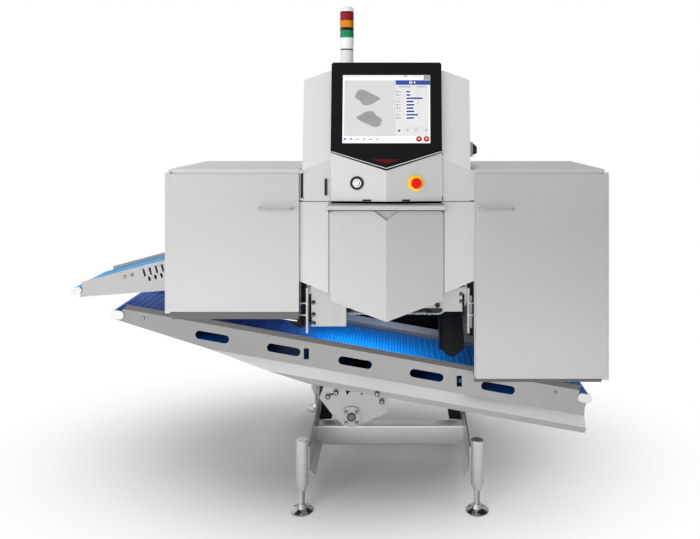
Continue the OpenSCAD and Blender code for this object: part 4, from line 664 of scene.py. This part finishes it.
def points_mesh(name, seats):
    """One vertex for each seat, with the way it faces as a named attribute."""
    mesh = bpy.data.meshes.new(name)
    mesh.from_pydata([tuple(point) for point, normal in seats], [], [])
    facing = mesh.attributes.new("facing", "FLOAT_VECTOR", "POINT")
    for item, (point, normal) in zip(facing.data, seats):
        item.vector = tuple(normal)
    return mesh


def welded(mesh):
    """Joins the corners that meet, so that swept parts are closed, and empties the node tree's slot."""
    mesh.materials.clear()
    bm = bmesh.new()
    bm.from_mesh(mesh)
    bmesh.ops.remove_doubles(bm, verts=bm.verts, dist=0.000002)
    return closed(bm, mesh)

# %% [markdown]
# A levelling foot is a threaded rod on a round base. The rod is smooth in the model,
# so its thread is a helix here: a spiral curve swept with a small square profile.

# %% Threads of the levelling feet
ROD_RADIUS, THREAD_PITCH, THREAD_TALL, THREAD_FOOT = 0.0099, 0.0025, 0.064, 0.0315
thread = Recipe("foot_thread", Turns=20.0, Radius=0.01, Height=0.05, Ridge=0.0013)
radius = thread.size("Radius")
helix = thread.add("GeometryNodeCurveSpiral", {
    "Resolution": 20, "Rotations": thread.size("Turns"), "Start Radius": radius, "End Radius": radius,
    "Height": thread.size("Height")})
ridge = thread.add("GeometryNodeCurvePrimitiveCircle", {"Resolution": 4, "Radius": thread.size("Ridge")})
thread.finish(thread.add("GeometryNodeCurveToMesh",
                         {"Curve": helix, "Profile Curve": ridge, "Fill Caps": True}))
for corner in CORNERS:
    low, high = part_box("foot_" + corner)
    middle = (low + high) / 2
    at = Matrix.Translation((middle.x, middle.y, low.z + THREAD_FOOT))
    mesh = thread.build("thread_" + corner, None, at, Turns=THREAD_TALL / THREAD_PITCH, Radius=ROD_RADIUS,
                        Height=THREAD_TALL)
    row, side = corner.split("_")
    shown("foot_thread_" + corner, welded(mesh), [turned], "foot_" + row[0] + side[0])

# %% [markdown]
# Screw heads repeat over the covers. One tree puts a low domed head on each seat, with
# a thin dark hexagon over it as its socket and, where one is asked for, a dark washer
# under it. Rays find the seats, so each head sits on real sheet.

# %% Screw heads
screw = Recipe("screw_heads", Radius=0.005, Height=0.003, Socket=0.0022, Washer=0.0)
radius, tall, socket, washer = (screw.size(label) for label in ("Radius", "Height", "Socket", "Washer"))
head = screw.dressed("GeometryNodeMeshCone", turned, {
    "Vertices": 18, "Side Segments": 3, "Radius Bottom": radius, "Radius Top": radius * 0.8, "Depth": tall})
key_hole = screw.dressed("GeometryNodeMeshCone", switch_black, {
    "Vertices": 6, "Side Segments": 1, "Radius Bottom": socket, "Radius Top": socket * 0.92,
    "Depth": 0.0002}, tall)
rubber = screw.dressed("GeometryNodeMeshCylinder", switch_black, {
    "Vertices": 20, "Radius": washer, "Depth": 0.0010}, 0.0005)
with_washer = screw.add("GeometryNodeSwitch", {"Switch": washer.above(0.0), "True": rubber},
                        input_type="GEOMETRY")
screw.finish(screw.seated(screw.joined(head, key_hole, with_washer)))
SOCKET_SHARE, SCREW_SINK = 0.45, 0.0004


def screws(name, node, starts, direction, radius, height, washer=0.0, body="frame"):
    seats = []
    for start in starts:
        point, normal = surface(node, start, direction)
        seats.append((point - normal * SCREW_SINK, normal))
    mesh = screw.build(name, points_mesh(name + "_seats", seats), Radius=radius, Height=height,
                       Socket=radius * SOCKET_SHARE, Washer=washer)
    shown(name, mesh, [], body)

# %% [markdown]
# The rear service door is held by two rows of five screws, the signal tower stands on
# a flange with four, and the isolator box has four in its side.

# %% Screws of the covers
rear_low, rear_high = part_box("rear_door")
first_z, row_tall = rear_low.z + 0.12, (rear_high.z - rear_low.z - 0.24) / 4
rear_starts = [(x, rear_high.y + 0.2, first_z + k * row_tall)
               for x in (rear_low.x + 0.060, rear_high.x - 0.022) for k in range(5)]
screws("rear_door_screws", "rear_door", rear_starts, (0, -1, 0), 0.005, 0.0026, body="door_rear")
pole_low, pole_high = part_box("signal_tower")
FLANGE_RADIUS = 0.0355
quarter_turns = [pi / 4 + k * pi / 2 for k in range(4)]
flange_starts = [((pole_low.x + pole_high.x) / 2 + FLANGE_RADIUS * cos(a),
                  (pole_low.y + pole_high.y) / 2 + FLANGE_RADIUS * sin(a), pole_low.z + 0.02)
                 for a in quarter_turns]
screws("tower_flange_screws", "signal_tower", flange_starts, (0, 0, -1), 0.0032, 0.0022)
box_low, box_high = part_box("isolator_base")
INSET = 0.007
box_starts = [(box_high.x + 0.1, y, z) for y in (box_low.y + INSET, box_high.y - INSET)
              for z in (box_low.z + INSET, box_high.z - INSET)]
screws("isolator_screws", "isolator_base", box_starts, (-1, 0, 0), 0.003, 0.0012)

# %% [markdown]
# The take-away conveyor's drive plate is bolted on with four hexagon bolts on dark
# washers, and its bearing has four more, round a dark seal ring. They are what one
# sees first down there. The inspection conveyor's side plate has two screws at its
# infeed end, and the long plate has one at each end. The dark washers under all of
# them also stand in for the shade round each head, as painted shade.

# %% Bolts of the drive plate and its bearing
bearing_low, bearing_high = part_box("low_bearings")
shaft_x, shaft_z = (bearing_low.x + bearing_high.x) / 2, (bearing_low.z + bearing_high.z) / 2
BEARING_BOLT = 0.0205
plate_bolts = [(shaft_x + a, shaft_z + b)
               for a, b in ((-0.060, 0.093), (-0.091, 0.077), (0.0985, 0.0885), (0.1165, 0.058))]
bearing_bolts = [(shaft_x + a, shaft_z + b)
                 for a in (-BEARING_BOLT, BEARING_BOLT) for b in (-BEARING_BOLT, BEARING_BOLT)]
for name, node, places, head_radius, head_tall, washer_radius in (
        ("drive_plate_bolts", "low_drive_plates", plate_bolts, 0.0066, 0.0042, 0.0098),
        ("bearing_bolts", "low_bearings", bearing_bolts, 0.0048, 0.0036, 0.0066),
        ("infeed_cap_screws", "feed_side_plates", [(-0.82625, 0.8967), (-0.79725, 0.9045)],
         0.0046, 0.0024, 0.0062),
        ("end_cap_screws", "low_front_plate", [(-0.7537, 0.7360), (0.8478, 0.4501)],
         0.0046, 0.0024, 0.0062)):
    screws(name, node, [(x, AHEAD, z) for x, z in places], BACKWARDS, head_radius, head_tall, washer_radius)
SEAL_OUTER, SEAL_INNER, SEAL_TALL = 0.0172, 0.0128, 0.0016
hub_y = front("low_bearings", shaft_x + 0.018, shaft_z)[0].y
rings = [[(x, hub_y - lift, z) for x, z in disc(shaft_x, shaft_z, ring_radius, 40)]
         for ring_radius, lift in ((SEAL_OUTER, 0.0), (SEAL_OUTER, SEAL_TALL), (SEAL_INNER, SEAL_TALL),
                                   (SEAL_INNER, 0.0))]
lofted("bearing_seal", [(rings, 0, True)], [switch_black])

# %% [markdown]
# Where two sheets meet there is a narrow gap that lies in shade and looks like a fine
# black line. Painted shade stands for it: each run is a thin black closed bar that
# stands half a millimetre proud of the sheet it is pressed on, and rays give its place.

# %% Painted shade in the gaps between the covers
def bar(start, end, out, half, low, high):
    """A closed bar from start to end; out is the way it faces, half its half width."""
    side = (end - start).normalized().cross(out).normalized()
    corners = [(-half, low), (half, low), (half, high), (-half, high)]
    return [[p + side * a + out * b for a, b in corners] for p in (start, end)], 0, False


def gap_shade_runs(name, node, runs):
    bars = []
    for one, two in runs:
        start, out = front(node, *one)
        bars.append(bar(start, front(node, *two)[0], out, GAP_SHADE_HALF, GAP_SHADE_SINK, GAP_SHADE_PROUD))
    lofted(name, bars, [gap_shade_and_catch_black])


GAP_SHADE_HALF, GAP_SHADE_SINK, GAP_SHADE_PROUD = 0.0012, -0.0004, 0.0007
panel_low, panel_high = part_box("control_panel")
shoulder_low, shoulder_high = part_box("lower_shoulders")
door_low, door_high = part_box("lower_door")
seam_z, panel_top = shoulder_high.z, 1.380
left_x, right_x = panel_low.x - 0.0016, panel_high.x + 0.0016
across = [((shoulder_low.x + 0.001, seam_z - 0.0010), (left_x, seam_z - 0.0010)),
          ((right_x, seam_z - 0.0010), (shoulder_high.x - 0.001, seam_z - 0.0010))]
beside_door = [((x, door_low.z + 0.100), (x, seam_z - 0.003))
               for x in (door_low.x - 0.0026, door_high.x + 0.0026)]
gap_shade_runs("shoulder_gap_shade", "lower_shoulders", across + beside_door)
# The panel's right side has two runs side by side, a wider band of painted shade.
gap_shade_runs("panel_gap_shade", "head_shell", [((x, seam_z + 0.003), (x, panel_top))
                                        for x in (right_x, right_x + 0.0022, left_x + 0.0003)])

# %% [markdown]
# Two catches lock the lower door to the head. Seen from the front they are short black
# slots between the panel and the pull rail, a little longer on the left.

# %% Catches above the rail
catch_z = panel_low.z + 0.004
catches = []
for x0, x1 in ((-0.090, -0.057), (0.060, 0.090)):
    for lift, shrink in ((0.0, 0.0), (0.0022, 0.004)):
        a, b = centre_x + x0 + shrink, centre_x + x1 - shrink
        out = front("control_panel", (a + b) / 2, catch_z)[1]
        ends = [front("control_panel", x, catch_z)[0] for x in (a, b)]
        catches.append(bar(*ends, out, 0.0030 - shrink * 0.2, lift - 0.0005, lift + 0.0020))
lofted("door_catches", catches, [gap_shade_and_catch_black])

# %% [markdown]
# Black rubber aprons hang beside the bolts under the head. They keep spray off the
# conveyor behind and make the narrow gap next to each hood look dark.

# %% Rubber aprons behind the carrier bars
guard_low, guard_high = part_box("guard_plates")
POINT_TALL, APRON_THICK = 0.012, 0.0010
aprons = []
for x0, x1, low, high in ((shoulder_low.x + 0.0035, shoulder_low.x + 0.0250, 0.700, 0.888),
                          (shoulder_low.x + 0.0350, shoulder_low.x + 0.0430, 0.712, 0.886),
                          (shoulder_high.x - 0.0240, shoulder_high.x - 0.0160, 0.700, 0.880),
                          (shoulder_high.x - 0.0430, shoulder_high.x - 0.0340, 0.745, 0.866)):
    outline = [(x0, high), (x0, low + POINT_TALL), ((x0 + x1) / 2, low), (x1, low + POINT_TALL), (x1, high)]
    aprons.append(prism(outline, upright(guard_low.y + 0.0262), 0.0, APRON_THICK))
lofted("rubber_aprons", aprons, [apron_rubber])

# %% [markdown]
# The bolts that stand out of the carrier bars have thick round nuts. A turned nut is
# a short cylinder on its side; Geometry Nodes put one on each pin's end.

# %% Nuts on the carrier bars' pins
nut = Recipe("pin_nuts", Radius=0.0062, Length=0.007)
barrel = nut.add("GeometryNodeMeshCylinder", {
    "Vertices": 20, "Side Segments": 1, "Radius": nut.size("Radius"), "Depth": nut.size("Length")})
along_x = nut.add("GeometryNodeTransform", {"Geometry": barrel, "Rotation": (0.0, pi / 2, 0.0)})
nut.finish(nut.add("GeometryNodeInstanceOnPoints", {"Points": nut.seats, "Instance": along_x}))
nut_seats = [((x, guard_low.y + 0.014, z), (1, 0, 0))
             for x in (guard_low.x + 0.0295, guard_high.x - 0.0285) for z in (0.752, 0.798)]
nut_mesh = nut.build("pin_nuts", points_mesh("nut_seats", nut_seats))
shown("pin_nuts", welded(nut_mesh), [turned])

# %% [markdown]
# The inspection belt is a chain of moulded links. Its inner side is a field of small
# pale knuckles, which show in the gap under the lower door. One knuckle is a
# flattened ball with few faces; a grid carries them, and a seed turns each a little.

# %% Knuckles inside the inspection belt's return run
knuckle = Recipe("belt_knuckles", Length=0.40, Depth=0.06, Count=66, Rows=6, Radius=0.0030, Seed=7)
size = knuckle.size
field = knuckle.add("GeometryNodeMeshGrid", {"Size X": size("Length"), "Size Y": size("Depth"),
                                             "Vertices X": size("Count"), "Vertices Y": size("Rows")})
ball = knuckle.add("GeometryNodeMeshUVSphere", {"Segments": 8, "Rings": 4, "Radius": size("Radius")})
flat = knuckle.add("GeometryNodeTransform", {"Geometry": ball, "Scale": (0.8, 1.3, 0.8)})
tilt = knuckle.add("FunctionNodeRandomValue", {"Min": (0.0, -0.3, 0.0), "Max": (0.0, 0.3, 0.0),
                                               "Seed": size("Seed")}, data_type="FLOAT_VECTOR")
knuckle.finish(knuckle.add("GeometryNodeInstanceOnPoints",
                           {"Points": field, "Instance": flat, "Rotation": tilt}))
FIELD_X, FIELD_LONG, FIELD_IN, FIELD_UP = 0.148, 0.390, 0.034, 0.0064
field_at = Matrix.Translation((FIELD_X, feed_low.y + FIELD_IN, feed_low.z + FIELD_UP))
field_mesh = knuckle.build("belt_knuckles", None, field_at, Length=FIELD_LONG)
shown("belt_knuckles", welded(field_mesh), [link_white])

# %% [markdown]
# The left hood ends in a folded lip under its sill, which catches the light, and a
# black rubber skirt hangs from it down to the take-away belt. The skirt is a sheet
# with a pointed foot.

# %% Lip and skirt under the left hood
hood_low, hood_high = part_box("hood_left")
lip_y, LIP_DEEP, LIP_UNDER, LIP_OVER = hood_low.y + 0.004, 0.014, -0.0015, 0.0035
lip_line = ((-0.070, 0.0010), (-0.050, -0.0020), (-0.028, -0.0060), (-0.006, -0.0085))
lip = [[(hood_high.x + a, lip_y + b, hood_low.z + up + c)
        for b, c in ((0, LIP_UNDER), (LIP_DEEP, LIP_UNDER), (LIP_DEEP, LIP_OVER), (0, LIP_OVER))]
       for a, up in lip_line]
lofted("hood_lip_left", [(lip, 0, False)], [bright_trim_and_highlight])
skirt = [(hood_high.x + a, hood_low.z + b) for a, b in (
    (-0.055, -0.004), (0.006, 0.004), (0.010, -0.034), (0.004, -0.042), (-0.020, -0.030))]
lofted("hood_skirt_left", [prism(skirt, upright(lip_y + 0.016), 0.0, 0.002)], [apron_rubber])

# %% [markdown]
# The guard plate beside the hood is held by black star knobs with bright screws. One
# knob is a low cone with few sides under a bright ball; nodes put it on each seat.

# %% Star knobs on the guard plates
knob = Recipe("star_knobs", Radius=0.0085, Height=0.0045, Ball=0.0030)
radius, tall = knob.size("Radius"), knob.size("Height")
star = knob.dressed("GeometryNodeMeshCone", switch_black, {
    "Vertices": 7, "Side Segments": 2, "Radius Bottom": radius, "Radius Top": radius * 0.7, "Depth": tall})
bead = knob.dressed("GeometryNodeMeshUVSphere", turned, {
    "Segments": 14, "Rings": 8, "Radius": knob.size("Ball")}, tall + 0.0022)
knob.finish(knob.seated(knob.joined(star, bead)))
knob_places = [(guard_low.x + x, z) for x, z in ((0.0565, 0.798), (0.0565, 0.752), (0.0575, 0.718))]
knob_places += [(guard_high.x - 0.060, z) for z in (0.862, 0.830, 0.802)]
knob_seats = [front("guard_plates", x, z) for x, z in knob_places]
knob_mesh = knob.build("star_knobs", points_mesh("knob_seats", knob_seats))
shown("guard_star_knobs", knob_mesh, [])

# %% [markdown]
# To the right of the spout a light guide post stands between two black clamps. It is
# an oval tube, because there is little depth in front of the conveyor's side plate.

# %% Guide post on the right
post_x = shoulder_high.x - 0.0085
face_y = front("feed_side_plates", post_x, 0.850)[0].y
POST_FOOT, POST_TOP, POST_WIDE, POST_DEEP = 0.700, 0.826, 0.0062, 0.0044
oval = disc(post_x, face_y - 0.0050, POST_WIDE, 28, POST_DEEP / POST_WIDE)
standing = lambda a, b, h: (a, b, h)
lofted("guide_post", [prism(oval, standing, POST_FOOT, POST_TOP)], [turned])
block = [(post_x + a, face_y + b) for a, b in (
    (-0.0070, -0.0096), (0.0070, -0.0096), (0.0078, -0.0086), (0.0078, -0.0003), (-0.0078, -0.0003),
    (-0.0078, -0.0086))]
lofted("guide_post_clamps", [prism(block, standing, low, high)
                             for low, high in ((POST_TOP, 0.884), (0.672, POST_FOOT))],
       [apron_rubber])

# %% [markdown]
# Each slot of the take-away conveyor has a bright line along its edge, a painted
# highlight. It is a thin bright ring that follows the slot's outline: a curve of two half
# circles and two straights, swept with a small round profile by Geometry Nodes.

# %% Painted highlights round the slots
SLOT_LONG, SLOT_HALF, SLOT_V = 0.134, 0.017, -0.070
FIRST_SLOT, SLOT_STEP, SLOTS, RIM_POINTS = -0.676, 0.282, 5, 32


def on_plate(u, v):
    """A place on the take-away conveyor's front, u along it and v square to it, in metres."""
    return (PLATE_X + u * cos(SLOPE) + v * sin(SLOPE),
            PLATE_Z - u * sin(SLOPE) + v * cos(SLOPE))


rim = Recipe("slot_rims", Thick=0.0007)
path = rim.add("GeometryNodeMeshToCurve", {"Mesh": rim.seats})
wire = rim.add("GeometryNodeCurvePrimitiveCircle", {"Resolution": 6, "Radius": rim.size("Thick")})
rim.finish(rim.add("GeometryNodeCurveToMesh", {"Curve": path, "Profile Curve": wire}))
web_y = front("low_front_plate", *on_plate(-0.535, SLOT_V))[0].y
reach = SLOT_LONG / 2 - SLOT_HALF
rim_points, rim_edges = [], []
for i in range(SLOTS):
    start = len(rim_points)
    for k, (a, b) in enumerate(disc(0, 0, SLOT_HALF, RIM_POINTS)):
        x, z = on_plate(FIRST_SLOT + SLOT_STEP * i + copysign(reach, a) + a, SLOT_V + b)
        rim_points.append((x, web_y - 0.0001, z))
        rim_edges.append((start + k, start + (k + 1) % RIM_POINTS))
rim_seed = bpy.data.meshes.new("slot_rim_seed")
rim_seed.from_pydata(rim_points, rim_edges, [])
shown("slot_rims", welded(rim.build("slot_rims", rim_seed)), [bright_trim_and_highlight])

# %% [markdown]
# The machine stands on a pale studio floor that is darker near it. Far off, the floor
# and the world look white to the camera, while reflections see a world that is
# brighter on the left. Large soft lamps give the light, the brighter one on the left
# as in the photograph. A low strip lights the take-away conveyor, and a small lamp in
# the gap under the head gives the blue belt its bright patch.

# %% Studio
REACH = 14
floor_mesh = bpy.data.meshes.new("studio_floor")
floor_mesh.from_pydata([(x, y, 0) for x, y in oblong(-REACH, -REACH, REACH, REACH)], [], [(0, 1, 2, 3)])
studio_floor = linked("studio_floor", floor_mesh)
f = Finish("studio_floor_white")
x, y, z = f.axes()
# Painted shadow: the floor's colour is darker near the machine and fades to pale further off.
from_middle = y - 0.12
painted_shadow_fade = (x * x * 0.42 + from_middle * from_middle).root().ramp(0.30, 1.16, "SMOOTHSTEP")
f.put(Base_Color=f.mix(painted_shadow_fade, (0.505, 0.505, 0.51, 1), (0.90, 0.90, 0.90, 1)), Roughness=0.8,
      Specular_IOR_Level=0.0)
seen = f.add("ShaderNodeLightPath", out="Is Camera Ray")
paper = f.add("ShaderNodeEmission", {"Color": (1, 1, 1, 1), "Strength": 1.0})
both = f.add("ShaderNodeMixShader", {0: painted_shadow_fade * seen, 1: Signal(f, f.shader.outputs[0]), 2: paper})
f.feed(f.tree.nodes["Material Output"], {"Surface": both})
floor_mesh.materials.append(f.material)

world = bpy.data.worlds.new("studio_world")
bpy.context.scene.world = world
world.use_nodes = True
world.node_tree.nodes.clear()
sky = Maker(world.node_tree)
right, deep, up = sky.axes(sky.add("ShaderNodeTexCoord", out="Generated"))
plain, through, glossy = (sky.add("ShaderNodeLightPath", out=ray)
                          for ray in ("Is Camera Ray", "Is Transmission Ray", "Is Glossy Ray"))
DIFFUSE_LEVEL = 0.45
behind = deep.ramp(0.0, 0.8, "SMOOTHSTEP")
mirrored = (0.89 - right * 0.66 + up * 0.60 - up * up * 0.75) * (1 - behind * 0.34)
level = (1 - glossy) * DIFFUSE_LEVEL + mirrored * glossy
white = plain.most(through)
backdrop = sky.add("ShaderNodeBackground", {"Color": (1, 1, 1, 1), "Strength": level * (1 - white) + white})
sky.feed(sky.tree.nodes.new("ShaderNodeOutputWorld"), {"Surface": backdrop})

for name, place, aim, wide, tall, watts in (
        ("key_lamp", (-2.3, -4.6, 1.8), (0, 0, 0.9), 2.6, 2.8, 160),
        ("low_lamp", (0.3, -2.3, 0.12), (0.2, 0, 0.46), 2.6, 0.2, 11),
        ("fill_lamp", (3.8, -2.6, 2.2), (0, 0, 0.9), 2.0, 2.4, 16),
        ("belt_lamp", (0.16, -0.36, 0.735), (0.18, -0.26, 0.50), 0.44, 0.06, 0.85),
        ("back_lamp", (0.6, 3.8, 3.2), (0, 0, 1.0), 3.0, 2.0, 110)):
    data = bpy.data.lights.new(name, "AREA")
    data.shape, data.size, data.size_y, data.energy = "RECTANGLE", wide, tall, watts
    lamp = linked(name, data)
    lamp.location = place
    lamp.rotation_euler = (Vector(aim) - Vector(place)).to_track_quat("-Z", "Y").to_euler()
    lamp.visible_glossy = lamp.visible_camera = False

# %% [markdown]
# The camera looks level from a little to the right of the middle, at eye height.
# The machine sits low in the frame through the lens shift, not through a tilt, so
# upright edges stay upright.

# %% Camera
eye = bpy.data.cameras.new("photo_camera")
eye.lens, eye.sensor_width, eye.sensor_fit = 36.0, 36.0, "HORIZONTAL"
eye.shift_x, eye.shift_y = -0.0721, -0.214
camera = linked("photo_camera", eye)
camera.location = (0.24535, -3.1525, 1.507)
camera.rotation_euler = (radians(90), 0, 0)
bpy.context.scene.camera = camera
bpy.context.scene.view_settings.view_transform = "Standard"

# %% [markdown]
# What was added is small and sits inside the imported model's outline.
